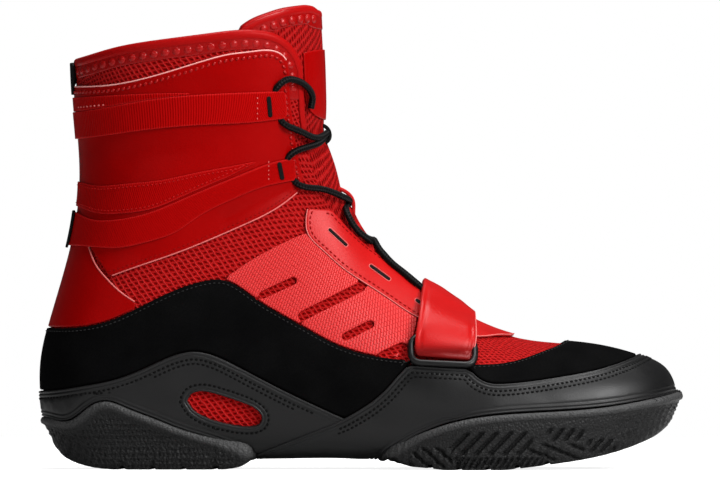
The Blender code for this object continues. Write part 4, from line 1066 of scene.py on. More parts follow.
edges = {
    "leather": ((0.0, 0.0), (0.0, 0.45), (0.18, 0.82), (0.5, 1.0), (1.0, 1.0)),
    "suede": ((0.0, 0.0), (0.0, 0.5), (0.25, 0.88), (0.7, 1.0), (1.2, 1.0)),
    "rolled": ((0.0, 0.0), (0.0, 0.5), (0.15, 0.9), (0.45, 1.12), (0.8, 1.06), (1.15, 0.82), (1.5, 0.95),
               (1.95, 1.12), (2.45, 1.03), (2.9, 0.86), (3.4, 1.0)),
    "tape": ((0.0, 0.0), (0.0, 0.6), (0.15, 0.95), (0.45, 1.05), (0.9, 1.0)),
    "thin": ((0.0, 0.0), (0.0, 0.6), (0.15, 0.92), (0.5, 1.0)),
    "strip": ((0.0, 0.0), (0.0, 0.6), (0.08, 0.92), (0.25, 1.0)),
    "wall": ((0.0, 0.0), (0.0, 0.5), (0.0, 1.0), (0.8, 1.0)),
    "pad": ((0.0, 0.0), (-0.3, 0.5), (0.0, 0.85), (0.8, 0.98), (1.6, 1.0)),
}

# Outlines of the pieces
podEdge = line("forefoot pod", edgeGapRise)
heelEdge = line("heel pod", edgeGapRise)
suedeEdge = line("suede rear", edgeGapRise)
stayEdge = line("eyestay low", -edgeGapRise)
webTop = line("webbing upper top", 0.15)
gapShift = np.array((edgeGapRise, 0.0))
outlines = {
    "mouth": np.vstack((line("collar"), line("throat"), corner(70, 90), corner(70, 260), corner(-150, 260))),
    "tongue": np.vstack((line("tongue top"), corner(-5, 203), corner(80, 90), corner(72, 50),
                         line("tongue edge"))),
    "tongue_patch": line("tongue patch"),
    "rand_front": np.vstack((line("rand top"), line("rand tab"), line("rand rear edge"), line("rand tail"),
                             corner(-43.5, -8), corner(4, -8), podEdge, corner(165, 37), corner(165, 54))),
    "rand_rear": np.vstack((line("rand rear top"), corner(4.0, 17.6), corner(2.0, 13.0),
                            line("rand tail", -5.5), heelEdge[2:])),
    "suede_foxing": np.vstack((line("suede rear"), line("suede front"), corner(130, 58),
                               line("rand top", edgeGapRise), line("rand tab", edgeGapRise),
                               (line("rand rear edge") - gapShift)[:-1],
                               line("rand rear top", edgeGapRise)[::-1])),
    "shaft_panel": np.vstack((line("panel top"), line("panel low"), corner(-123.4, 103.0),
                              corner(-150, 103.0))),
    "heel_counter": np.vstack((corner(-150, 102.4), corner(-124.0, 102.4), line("counter front"),
                               between(suedeEdge, -200, -99.5)[::-1])),
    "eyestay": np.vstack((line("eyestay low"), line("eyestay top")[::-1])),
    "quarter": np.vstack((line("quarter top"), between(stayEdge, -21, 27), corner(24.0, 60.0),
                          between(suedeEdge, -60, 17)[::-1])),
    "webbing_upper": np.vstack((line("webbing upper top"), line("webbing upper low"))),
    "webbing_lower": np.vstack((line("webbing lower top"), line("webbing lower low"))),
    "strip_upper": np.vstack((between(line("strip upper top"), -200, -76.0),
                              between(webTop, -200, -76.0)[::-1])),
    "strip_lower": np.vstack((line("strip lower top"), line("strip lower low", edgeGapRise))),
    "pull_tab": np.vstack((corner(-160, 167.6), corner(-100, 168.6), corner(-100, 182.6),
                           corner(-160, 182.6))),
    "strap_keeper": np.vstack((corner(-160, 99.6), corner(-100, 99.6), corner(-100, 116.3),
                               corner(-160, 116.3))),
    "oval": line("oval window")[:-1],
}


def floorHole(margin=13.0, low=-118.0, high=100.0):  # opening under the foot, in plan
    outer, inner = [], []
    for lowX, _, _, _, centre, outerReach, innerReach, _, _, _ in lastSections.values():
        if low < lowX < high and innerReach > 0:
            outer.append((lowX, centre - outerReach + margin))
            inner.append((lowX, centre + innerReach - margin))
    return np.array(outer + inner[::-1])


# Upper: mesh outside, lining inside
upperSizes = {"wall": (-1.8, 0.0), "floorTop": 16.0}
floorPlan = floorHole()


def upperGap(points):
    gap = -signedGap(points[:, [0, 2]], outlines["mouth"])
    low = points[:, 2] < upperSizes["floorTop"]
    gap[low] = np.minimum(gap[low], -signedGap(points[low][:, :2], floorPlan))
    return gap


upperPlace = panelPlace(*upperSizes["wall"], lambda points, gap: creaseHeight("vamp", points))
upper, upperRims, firstInside = buildSkin("upper", upperGrid, upperPlace, upperGap, edges["wall"])
finishPiece(upper, "meshRed", "mesh_red", "upper")
upper.data.materials.append(materials["liningRed"])
inside = (np.arange(len(upper.data.polygons)) >= firstInside).astype(np.int32)
upper.data.polygons.foreach_set("material_index", inside)
upperFlat = pointsOf(upper)[:, [0, 2]]
blackPart = np.vstack((line("suede rear", -0.8), line("suede front", -0.8), corner(200, 58), corner(200, -30),
                       corner(-200, -30), corner(-200, 64)))
offOval = 1 - eased(signedGap(upperFlat, outlines["oval"]), -2.6, -1.6)
paint(upper, "underBlack", eased(signedGap(upperFlat, blackPart), 0.0, 0.6) * offOval)
print("upper done")

# Footbed: the CAD solid with its own finish
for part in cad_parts["insole"].material_slots:
    part.material = materials["footbedBlack"]

# Tongue and its bare patch
tongueSizes = {"layer": (-6.0, -2.1), "patch": (-1.8, -1.0), "crown": 0.5, "swell": 3.0,
               "swellFrom": (84.0, 102.0), "swellTo": (114.0, 126.0), "swellSide": (8.0, 17.0)}


def tongueRelief(points, gap):  # crowned, and fuller between the laced edges
    above = eased(points[:, 2], *tongueSizes["swellTo"])
    swell = eased(points[:, 2], *tongueSizes["swellFrom"]) * (1 - above)
    middle = 1 - eased(np.abs(points[:, 1]), *tongueSizes["swellSide"])
    return tongueSizes["crown"] * (eased(gap, 0, 10) - 0.5) + tongueSizes["swell"] * swell * middle


tonguePlace = panelPlace(*tongueSizes["layer"], tongueRelief)
tongueGap = outlineGap(outlines["tongue"])
tongue, tongueRims, _ = buildSkin("tongue", skinGrid, tonguePlace, tongueGap, edges["pad"])
finishPiece(tongue, "tongueMesh", "mesh_red", "tongue")
patchPlace = panelPlace(*tongueSizes["patch"])
patch, _, _ = buildSkin("tonguePatch", skinGrid, patchPlace, outlineGap(outlines["tongue_patch"]),
                        edges["thin"])
finishPiece(patch, "leatherRed", "leather_red", "tongue_patch")

# Leather, suede and rand panels
def randHeight(points, normals):  # a little fuller under the arch
    return 2.0 + 0.5 * eased(-points[:, 0], -8.0, 2.0)


def tabHeight(onPanel, onMesh):  # steps down from the leather to the mesh above it
    return lambda points, normals: onPanel + (onMesh - onPanel) * eased(points[:, 2], 171.8, 172.8)


shaftGrid = makeGrid(0.8, sectionAt("ankle"), sectionAt("collar"))
panels = {
    "suede_foxing": {"layer": (clear, 1.5), "edge": "suede", "look": "suedeBlack", "slot": "suede_black",
                     "crease": "suede"},
    "rand_front": {"layer": (clear, randHeight), "edge": "rolled", "look": "randBlack", "slot": "rand_black",
                   "crease": "rand"},
    "rand_rear": {"layer": (clear, 2.0), "edge": "rolled", "look": "randBlack", "slot": "rand_black",
                  "holes": ("oval",), "ridge": True},
    "shaft_panel": {"layer": (clear, 1.3), "edge": "leather", "look": "leatherRed", "slot": "leather_red",
                    "crease": "shaft"},
    "heel_counter": {"layer": (clear, 1.3), "edge": "leather", "look": "leatherRed", "slot": "leather_red",
                     "crease": "shaft"},
    # the eyestay takes the lighter, painted-lit copy of the red leather
    "eyestay": {"layer": (clear, 1.3), "edge": "leather", "look": "leatherLight", "slot": "leather_red"},
    "webbing_upper": {"layer": (1.6, 2.5), "edge": "tape", "look": "webbingRed", "slot": "webbing_red"},
    "webbing_lower": {"layer": (1.6, 2.5), "edge": "tape", "look": "webbingRed", "slot": "webbing_red"},
    "strip_upper": {"layer": (1.6, 2.1), "edge": "strip", "look": "webbingRed", "slot": "webbing_red",
                    "grid": shaftGrid},
    "strip_lower": {"layer": (1.6, 2.1), "edge": "strip", "look": "webbingRed", "slot": "webbing_red"},
    "pull_tab": {"layer": (tabHeight(1.6, 0.45), 2.5), "edge": "thin", "look": "tapeBlack",
                 "slot": "cord_black", "halfWidth": 7.0},
    "strap_keeper": {"layer": (2.8, 3.5), "edge": "thin", "look": "tapeBlack", "slot": "cord_black",
                     "halfWidth": 8.0},
}
places, gapOf, rimOf = {}, {}, {}


heelRoll = {"rise": 0.8, "below": 5.6, "wide": 1.3, "from": (96, 116), "lowest": 24}


def heelRidge(points, gap):  # a second roll below the rand's top edge, round the heel only
    roll = heelRoll["rise"] * np.exp(-((gap - heelRoll["below"]) / heelRoll["wide"]) ** 2)
    return roll * eased(-points[:, 0], *heelRoll["from"]) * (points[:, 2] > heelRoll["lowest"])


for name, size in panels.items():
    crease = size.get("crease")
    relief = (lambda points, gap, crease=crease: creaseHeight(crease, points)) if crease else None
    if size.get("ridge"):
        relief = heelRidge
    places[name] = panelPlace(*size["layer"], relief)
    gapOf[name] = outlineGap(outlines[name], [outlines[hole] for hole in size.get("holes", ())],
                             halfWidth=size.get("halfWidth"))
    item, rimOf[name], _ = buildSkin(pieceName(name), size.get("grid", skinGrid), places[name],
                                     gapOf[name], edges[size["edge"]])
    finishPiece(item, size["look"], size["slot"], name)

# Quarters with slanted vents
quarterSizes = {
    "layer": (clear, 1.3),
    # x z length width slope
    "vents": ((-36.8, 81.6, 18.5, 3.4, 25.0), (-12.6, 75.6, 33.5, 4.2, 26.5), (-0.9, 62.6, 16.0, 3.6, 27.0),
              (14.6, 53.6, 13.0, 3.6, 25.0)),
}
quarterPlace = panelPlace(*quarterSizes["layer"])
vents = [slotOutline(*vent) for vent in quarterSizes["vents"]]
for node, side in (("quarter_outer", -1), ("quarter_inner", 1)):
    gapOf[node] = outlineGap(outlines["quarter"], vents, side=side)
    item, rimOf[node], _ = buildSkin(pieceName(node), skinGrid, quarterPlace, gapOf[node],
                                     edges["thin"])
    finishPiece(item, "embossedRed", "embossed_red", node)

# Points over the side of the shoe
sideAlong, sideAround = (values.ravel() for values in np.meshgrid(np.linspace(0.5, lastKnots[-1], 420),
                                                                  np.linspace(0.25, np.pi - 0.001, 220)))
sideFaces = {side: lastFace(sideAlong, side * sideAround) for side in (-1, 1)}


def overSide(flat, rise, side=-1):  # points seen at x, z from that side, lifted off the last
    flat = np.atleast_2d(np.asarray(flat, float))
    rise = np.broadcast_to(np.asarray(rise, float), len(flat))
    picked = [np.argmin(((sideFaces[side][:, [0, 2]] - aim) ** 2).sum(1)) for aim in flat]
    stepAlong, stepAround = 0.02, 0.002
    along = sideAlong[picked].copy()
    around = side * sideAround[picked]

    def seen(a, b):
        return lastFace(a, b) + lastNormals(a, b) * rise[:, None]

    for _ in range(6):
        here = seen(along, around)
        u = (seen(along + stepAlong, around) - here)[:, [0, 2]] / stepAlong
        v = (seen(along, around + stepAround) - here)[:, [0, 2]] / stepAround
        off = flat - here[:, [0, 2]]
        spread = u[:, 0] * v[:, 1] - u[:, 1] * v[:, 0]
        spread = np.where(np.abs(spread) < 4.0, np.where(spread < 0, -4.0, 4.0), spread)
        moveU = (off[:, 0] * v[:, 1] - off[:, 1] * v[:, 0]) / spread
        moveV = (u[:, 0] * off[:, 1] - u[:, 1] * off[:, 0]) / spread
        along = along + np.clip(moveU, -2, 2)
        around = side * np.clip(side * (around + np.clip(moveV, -0.06, 0.06)), 0.05, np.pi - 0.001)
    return seen(along, around), lastNormals(along, around)


def nearLine(points, polyline, reach):
    flat = points[:, [0, 2]]
    run = np.diff(polyline, axis=0)
    offset = flat[:, None, :] - polyline[None, :-1]
    share = np.clip((offset * run).sum(2) / np.maximum((run ** 2).sum(1), 1e-9), 0, 1)
    return np.linalg.norm(offset - share[..., None] * run, axis=2).min(1) < reach


# Rubber pods with lip, side pattern and lugs
pods = {
    "lip": 3.6, "step": 0.9, "flatFrom": 0.45, "flatAt": 0.85, "round": 0.25, "bead": (0.45, 2.0, 1.1),
    "lugDepth": 1.6, "lugWidth": 2.4, "lugLead": 9.0, "notch": (0.6, 3.1), "fine": (0.5, 4.3),
    "pebble": 0.45, "patternFrom": (1.6, 2.8),
    "tread": line("tread"),
    "outsole_forefoot": {"cut": 1.1, "side": 4.8, "slim": 2.3, "taper": (7.0, 36.0), "level": (7.0, 24.0),
                         "top": line("forefoot pod"), "ends": ((165, 36), (165, -8), (7.2, -8)),
                         "lugs": (28.0, 41.0, 54.0, 67.0, 80.0)},
    "outsole_heel": {"cut": 0.7, "side": 2.9, "slim": 2.2, "taper": (-47.0, -62.0), "level": (-43.0, -54.0),
                     "top": smoothLine(((-43.6, 5.4), (-47.6, 6.2)) + patternLines["heel pod"][1:]),
                     "ends": ((-165, 22), (-165, -8), (-43.8, -8)),
                     "lugs": (-112.0, -98.0, -84.0, -70.0)},
}


def ridge(values, width):  # 1 on whole numbers, falling to 0 past the width
    away = np.abs(values - np.round(values))
    return 1 - eased(away, width * 0.5, width)


def strokeDepth(x, z, strokes):  # groups of grooves: x from, to, z from, to, slope, pitch, width share
    depth = np.zeros(len(x))
    for xLow, xHigh, zLow, zHigh, slope, pitch, width in strokes.values():
        turn = np.radians(slope)
        across = (np.cos(turn) * z - np.sin(turn) * x) / pitch
        inside = (eased(x, xLow - 1, xLow + 1) * (1 - eased(x, xHigh - 1, xHigh + 1))
                  * eased(z, zLow - 0.7, zLow + 0.7) * (1 - eased(z, zHigh - 0.7, zHigh + 0.7)))
        depth = np.maximum(depth, ridge(across, width) * inside)
    return depth


forefootStrokes = {
    "nested arms": (22.0, 41.0, 1.4, 10.0, -43.0, 4.4, 0.2),
    "long strokes": (41.0, 77.0, 6.8, 17.0, 46.0, 4.6, 0.2),
    "fine lugs": (42.0, 82.0, 0.6, 5.4, 55.0, 2.3, 0.3),
    "falling lines": (75.0, 101.0, 4.5, 11.5, -22.0, 4.6, 0.17),
    "upper strokes": (84.0, 100.0, 13.2, 18.6, 52.0, 4.0, 0.22),
    "front strokes": (102.0, 115.0, 8.0, 13.6, 48.0, 3.4, 0.24),
}


def forefootGrooves(x, z):
    return strokeDepth(x, z, forefootStrokes)


heelTicks = {"row": 2.6, "pitch": 2.0, "shift": 0.37, "lean": 0.06, "depth": 0.55}


def heelGrooves(x, z):  # rows of short ticks, knurled round the back
    level = z / heelTicks["row"]
    place = x / heelTicks["pitch"] + np.floor(level) * heelTicks["shift"] + heelTicks["lean"] * z
    ticks = heelTicks["depth"] * ridge(place, 0.28) * ridge(level + 0.5, 0.42)
    knurl = np.clip(np.sin(x * 2.3 + z) * np.sin(z * 2.6 - x), 0, 1)
    back = eased(-x, 122, 130)
    return ticks * (1 - back) + knurl * back


def toePebbles(x, z):
    return np.sin(x * 2.3 + z * 0.7) * np.sin(z * 2.1 - x * 0.5) * eased(x, 112, 118)


def sideHeight(points, flat):  # height that a point of the side ends at
    ground = np.interp(points[:, 0], pods["tread"][:, 0], pods["tread"][:, 1])
    return points[:, 2] + (ground - points[:, 2]) * flat


def belowLip(gap):  # the side pattern fades in under the lip
    start, end = pods["patternFrom"]
    return eased(gap, pods["lip"] + start, pods["lip"] + end)


def podPlace(size, pattern):
    lugs = np.array(size["lugs"])

    def place(along, around, lift=1.0, gap=None):
        points = lastFace(along, around)
        normals = lastNormals(along, around)
        flat = eased(-normals[:, 2], pods["flatFrom"], pods["flatAt"]) * eased(points[:, 0], *size["level"])
        height = size["slim"] + (size["side"] - size["slim"]) * eased(points[:, 0], *size["taper"])
        deeper = np.zeros(len(points))
        if gap is not None:
            below = eased(gap, pods["lip"] - 0.5, pods["lip"] + 0.3)
            outer = points + normals * height[:, None]
            pattern01 = belowLip(gap)
            height += -pods["step"] * below * (1 - flat) + pods["round"] * (eased(gap, 0, 1.2) - 1)
            rise, middle, wide = pods["bead"]
            height += rise * np.exp(-((gap - middle) / wide) ** 2) * (1 - flat)
            deep, pitch = pods["notch"]
            corner01 = eased(flat, 0.02, 0.3) * (1 - eased(flat, 0.75, 1))
            height -= deep * ridge(outer[:, 0] / pitch, 0.25) * corner01
            reach = outer[:, 0] + pods["lugWidth"] / 2 - pods["lugLead"] * (1 - np.abs(outer[:, 1]) / 90)
            away = np.abs(reach[:, None] - lugs).min(1)
            deep, pitch = pods["fine"]
            slant = (outer[:, 0] + 0.4 * np.abs(outer[:, 1])) / pitch
            fine = deep * ridge(slant, 0.2) * eased(45 - np.abs(outer[:, 1]), 4, 8)
            deeper = pods["lugDepth"] * (1 - eased(away, 0.9, 1.5)) + fine
        outer = points + normals * height[:, None]
        if gap is not None:
            cut = (pods["pebble"] * toePebbles(outer[:, 0], outer[:, 2])
                   - size["cut"] * pattern(outer[:, 0], sideHeight(outer, flat)))
            outer[:, :2] += unit(normals[:, :2]) * (cut * pattern01 * (1 - eased(flat, 0.95, 1.0)))[:, None]
        ground = np.interp(outer[:, 0], pods["tread"][:, 0], pods["tread"][:, 1]) + deeper
        outer[:, 2] = np.maximum(outer[:, 2] + (ground - outer[:, 2]) * flat, 0.0)
        inner = points + normals * clear
        lift = np.asarray(lift, float)
        return inner + (outer - inner) * (lift[..., None] if lift.ndim else lift)
    return place


edges["lip"] = ((0.0, 0.0), (0.0, 0.6), (0.2, 0.85), (0.6, 0.97), (1.2, 1.0))
for name, pattern in (("outsole_forefoot", forefootGrooves), ("outsole_heel", heelGrooves)):
    size = pods[name]
    outlines[name] = np.vstack((size["top"], np.array(size["ends"], float)))
    gapOf[name] = outlineGap(outlines[name])
    places[name] = podPlace(size, pattern)
    podGrid = makeGrid(0.75, shape=places[name])
    item, rimOf[name], _ = buildSkin(pieceName(name), podGrid, places[name], gapOf[name],
                                     edges["lip"])
    spots = pointsOf(item)
    depth = np.zeros(len(spots), np.float32)
    item.data.attributes["edgeGap"].data.foreach_get("value", depth)
    paint(item, "groove", pattern(spots[:, 0], spots[:, 2]) * belowLip(depth / mm))
    finishPiece(item, "rubberBlack", "rubber_black", name)

# Instep strap, curling in behind the ring's lower bar
strap = {"thick": 2.0, "base": 2.2, "overRing": 5.9, "innerEnd": 1.9, "lift": (12.0, 32.0), "curlTop": 62.0,
         "curlDeep": 11.6, "edgeLine": 2.3, "edgeDeep": 0.4, "edgeWide": 0.45, "round": 0.3, "crown": 1.3,
         "flatSide": (10.0, 22.0), "paintedFoldShade": (51.0, 58.5)}


def strapHeight(extra):
    def height(points, _):
        outside = points[:, 1] < 0
        end = np.where(outside, strap["overRing"], strap["innerEnd"])
        rise = strap["base"] + (end - strap["base"]) * eased(np.abs(points[:, 1]), *strap["lift"])
        drop = np.clip((strap["curlTop"] - points[:, 2]) / strap["curlDeep"], 0, 0.97)
        return np.where(outside, rise * np.sqrt(1 - drop ** 2), rise) + extra
    return height


def strapRelief(points, gap):
    side = eased(np.abs(points[:, 1]), *strap["flatSide"])
    groove = strap["edgeDeep"] * np.exp(-((gap - strap["edgeLine"]) / strap["edgeWide"]) ** 2)
    crown = strap["crown"] * eased(gap, -2.0, 10.0) * (1 - side)
    return (strap["round"] * (eased(gap, 0.4, 5.0) - 1) - groove) * side + crown


outlines["instep_strap"] = np.vstack((smoothLine(patternLines["strap back edge"] + ((25.2, 51.6),)),
                                      smoothLine(((49.8, 49.9),) + patternLines["strap front edge"])))
strapGrid = makeGrid(0.75, sectionAt("toe joints"), sectionAt("instep"))
places["instep_strap"] = panelPlace(strapHeight(0.0), strapHeight(strap["thick"]), strapRelief)
gapOf["instep_strap"] = outlineGap(outlines["instep_strap"])
edges["strap"] = ((0.0, 0.0), (-0.1, 0.3), (-0.1, 0.7), (0.2, 0.94), (0.7, 1.0))
item, rimOf["instep_strap"], _ = buildSkin("InstepStrap", strapGrid, places["instep_strap"],
                                           gapOf["instep_strap"], edges["strap"])
strapSpots = pointsOf(item)
# painted shade on the strap's lower curl, darker towards the bottom edge on the outer side
paint(item, "foldShade", (1 - eased(strapSpots[:, 2], *strap["paintedFoldShade"])) * (strapSpots[:, 1] < 0))
# the strap takes the lighter, painted-lit copy of the red leather
finishPiece(item, "leatherLight", "leather_red", "instep_strap")


# Round wire and laces
def ringFaces(rings, sides, closed=False, flip=False):  # quads between neighbouring rings of points
    faces = []
    for i in range(rings if closed else rings - 1):
        here, ahead = i * sides, (i + 1) % rings * sides
        for k in range(sides):
            a, b = (k, (k + 1) % sides)[::-1 if flip else 1]
            faces.append((here + a, here + b, ahead + b, ahead + a))
    return faces


def endFaces(rings, sides, flip=False):
    first, last = list(range(sides)), [(rings - 1) * sides + k for k in range(sides)]
    return [first, last[::-1]] if flip else [first[::-1], last]


def sweptTube(points, radius, sides=10, closed=False):
    points = np.asarray(points, float)
    radius = np.broadcast_to(np.asarray(radius, float), len(points))
    if closed:
        forward = unit(np.roll(points, -1, 0) - np.roll(points, 1, 0))
    else:
        forward = unit(np.gradient(points, axis=0))
    side = np.cross(forward[0], (0.2, 0.9, 0.37))
    frames = []
    for way in forward:  # carried along without twist
        side = unit(side - way * (side @ way))
        frames.append((side, np.cross(way, side)))
    turns = 2 * np.pi * np.arange(sides) / sides
    rings = [p + r * (np.cos(turns)[:, None] * a + np.sin(turns)[:, None] * b)
             for p, r, (a, b) in zip(points, radius, frames)]
    run = runLengths(points)
    count = len(points)
    faces, uvs = ringFaces(count, sides, closed), []
    for i in range(count if closed else count - 1):
        ahead = run[i + 1] if i + 1 < count else run[-1] + run[1]
        for k in range(sides):
            low, high = k / sides, (k + 1) / sides
            uvs += [(run[i], low), (run[i], high), (ahead, high), (ahead, low)]
    if not closed:
        faces += endFaces(count, sides)
        uvs += [(run[0], 0.0)] * sides + [(run[-1], 0.0)] * sides
    return np.vstack(rings), faces, uvs


def tubePiece(name, tubes):
    points, faces, uvs = [], [], []
    total = 0
    for vertices, tubeFaces, tubeUvs in tubes:
        points.append(vertices)
        faces += [tuple(total + v for v in face) for face in tubeFaces]
        uvs += tubeUvs
        total += len(vertices)
    item = meshObject(name, np.vstack(points), faces)
    layer = item.data.uv_layers.new(name="braid")
    layer.uv.foreach_set("vector", (np.array(uvs) * (mm, 1.0)).astype(np.float32).ravel())
    return item


ring = {"wire": 3.0, "size": (28.8, 11.5), "corner": 4.0, "centre": (37.1, 53.4), "rise": 3.3, "tilt": -0.05}


def ringPath():
    halfX, halfZ = ring["size"][0] / 2 - ring["corner"], ring["size"][1] / 2 - ring["corner"]
    flat = []
    for quarter, (signX, signZ) in enumerate(((1, 1), (-1, 1), (-1, -1), (1, -1))):
        for turn in np.radians(np.linspace(0, 90, 7)) + quarter * np.pi / 2:
            x = signX * halfX + ring["corner"] * np.cos(turn)
            flat.append((x, signZ * halfZ + ring["corner"] * np.sin(turn) + ring["tilt"] * x))
    flat = np.array(flat)
    loop = np.vstack((flat, flat[:1]))
    run = runLengths(loop)
    places = np.linspace(0, run[-1], 90, endpoint=False)
    even = np.stack([np.interp(places, run, loop[:, axis]) for axis in (0, 1)], -1)
    points, _ = overSide(even + np.array(ring["centre"]), ring["rise"])
    for _ in range(2):
        points = (np.roll(points, 1, 0) + 2 * points + np.roll(points, -1, 0)) / 4
    return points


ringTube = sweptTube(ringPath(), ring["wire"] / 2, 14, True)
finishPiece(tubePiece("StrapRing", [ringTube]), "wireBlack", "wire_black", "strap_ring")

lace = {  # x, z in the side view and the lift off the last
    "thick": 3.0, "over": 0.5, "under": -0.7,
    "arc": ((-39.8, 166.0, -0.2), (-38.6, 169.2, 0.3), (-36.6, 172.0, 2.6), (-33.5, 174.6, 3.8),
            (-28.5, 174.6, 3.2), (-24.0, 172.0, 2.2), (-21.3, 167.0, 1.4), (-22.0, 162.0, 0.6)),
    "upper": ((-37.6, 160.8, -0.2), (-36.4, 158.0, 0.3), (-34.0, 155.2, 2.4), (-28.0, 152.3, 2.9),
              (-20.5, 149.0, 2.5)),
    "middle": ((-34.6, 134.8, -0.2), (-33.4, 137.8, 0.3), (-31.2, 141.2, 2.4), (-26.0, 144.0, 2.9),
               (-19.5, 146.0, 2.5)),
    "crossing": (-15.2, 150.6),
    "loopLow": ((-31.8, 133.4, -0.2), (-30.6, 130.8, 0.3), (-27.4, 127.8, 2.4), (-18.0, 126.0, 2.8),
                (-9.5, 123.2, 2.5)),
    "knuckle": (-5.0, 119.4),
    "eyestay": ((-5.4, 114.2, 2.8), (-3.0, 109.8, 2.8), (0.0, 106.2, 2.8), (2.8, 104.0, 2.9)),
    "knuckleLow": (5.9, 102.2),
    "tail": ((9.6, 97.6, 2.7), (14.2, 92.6, 2.6), (19.4, 88.4, 2.6), (25.4, 83.4, 2.6), (29.6, 79.9, 1.4),
             (33.0, 77.0, 0.2)),
}
mirrorY = np.array((1.0, -1.0, 1.0))


def laceRun(route):
    route = np.array(lace[route])
    return overSide(route[:, :2], route[:, 2])[0]


def overTongue(spot, lift):
    x, z = lace[spot]
    return np.array(((x + lift, 0.0, z + lift),))


def lacePiece(name, runs, node):
    tubes = [sweptTube(smoothLine(run, 0.9), lace["thick"] / 2, 12) for run in runs]
    finishPiece(tubePiece(name, tubes), "cordBlack", "cord_black", node)


def lowerLace(lift):
    return np.vstack((laceRun("loopLow"), overTongue("knuckle", lift), laceRun("eyestay") * mirrorY,
                      overTongue("knuckleLow", lift), laceRun("tail")))


arc = laceRun("arc")
lacePiece("LaceArcOuter", [arc], "lace_arc_outer")
lacePiece("LaceArcInner", [arc * mirrorY], "lace_arc_inner")
upperRun, middleRun = laceRun("upper"), laceRun("middle")
crossings = [np.vstack((upperRun, overTongue("crossing", lace["over"]), middleRun[::-1] * mirrorY)),
             np.vstack((upperRun * mirrorY, overTongue("crossing", lace["under"]), middleRun[::-1]))]
lacePiece("LaceCrossing", crossings, "lace_crossing")
lacePiece("LaceLower", [lowerLace(lace["over"]), lowerLace(lace["under"]) * mirrorY], "lace_lower")
print("ring and laces done")

# Loops on the tongue that hold the crossed laces
loops = {
    "thick": 1.7, "width": 8.0,
    "tongue_loop_upper": ((-18.0, 154.8), (-15.2, 153.6), (-13.7, 151.2), (-13.8, 148.4), (-16.8, 145.8)),
    "tongue_loop_lower": ((-9.8, 126.2), (-5.6, 124.0), (-3.2, 120.6), (-2.9, 116.4), (-2.9, 111.0)),
}


def bandPiece(name, route):
    middle = smoothLine(route, 0.7)
    run = unit(np.gradient(middle, axis=0))
    out = np.stack((-run[:, 1], run[:, 0]), -1)
    half, thick = loops["width"] / 2, loops["thick"] / 2
    section = [(-half, -thick * 0.6), (-half + 0.3, -thick), (half - 0.3, -thick), (half, -thick * 0.6),
               (half, thick * 0.6), (half - 0.3, thick), (-half + 0.3, thick), (-half, thick * 0.6)]
    points = [(m[0] + o[0] * h, y, m[1] + o[1] * h) for m, o in zip(middle, out) for y, h in section]
    faces = ringFaces(len(middle), len(section)) + endFaces(len(middle), len(section))
    return meshObject(name, np.array(points), faces)


for name, look in (("tongue_loop_upper", "threadBlack"), ("tongue_loop_lower", "threadRed")):
    finishPiece(bandPiece(pieceName(name), loops[name]), look, "webbing_red", name)


# Bars and slots: small raised pads on a panel, with a rim
def padMesh(x, z, length, width, slope, low, high, side):
    rows, lifts = [], []
    for inset, lift in ((0.0, 0.0), (0.0, 0.7), (0.12, 1.0), (0.5, 1.0), (0.5, 1.0)):
        rows.append(slotOutline(x, z, length - 2 * inset, max(width - 2 * inset, 0.2), slope))
        lifts.append(low + (high - low) * lift)
    flat = np.vstack(rows)
    count = len(rows[0])
    points, _ = overSide(flat, np.repeat(lifts, count), side)
    faces = ringFaces(len(rows) - 1, count) + endFaces(len(rows) - 1, count)
    return points[:(len(rows) - 1) * count], [face if side < 0 else face[::-1] for face in faces]


def padsPiece(name, pads, low, high, look, slot):
    points, faces = [], []
    total = 0
    for side in (-1, 1):
        for pad in pads:
            vertices, padFaces = padMesh(*pad, low, high, side)
            points.append(vertices)
            faces += [tuple(total + v for v in face) for face in padFaces]
            total += len(vertices)
    return finishPiece(meshObject(name, np.vstack(points), faces), look, slot)


def outlinePaths(pads, rise):
    paths = []
    for side in (-1, 1):
        for pad in pads:
            points, normals = overSide(slotOutline(*pad), rise, side)
            paths.append((points, normals, True))
    return paths


# Each slot or bar: x z length width slope
slots = ((-9.9, 104.2, 11.2, 1.3, -43.0), (9.0, 88.4, 11.2, 1.3, -36.0), (29.6, 73.2, 11.2, 1.3, -34.0))
bars = ((-40.5, 162.7, 9.5, 2.0, 95.0), (-35.5, 133.9, 8.2, 2.0, 101.0))
padsPiece("EyestaySlots", slots, 1.1, 1.5, "threadBlack", "cord_black")
pipePiece("EyestaySlotRims", outlinePaths([(x, z, l + 0.5, w + 0.5, s) for x, z, l, w, s in slots], 1.3),
          "pipingPink", "leather_red", 0.17, 0.0)
padsPiece("WebbingBars", bars, 2.3, 2.8, "threadBlack", "cord_black")


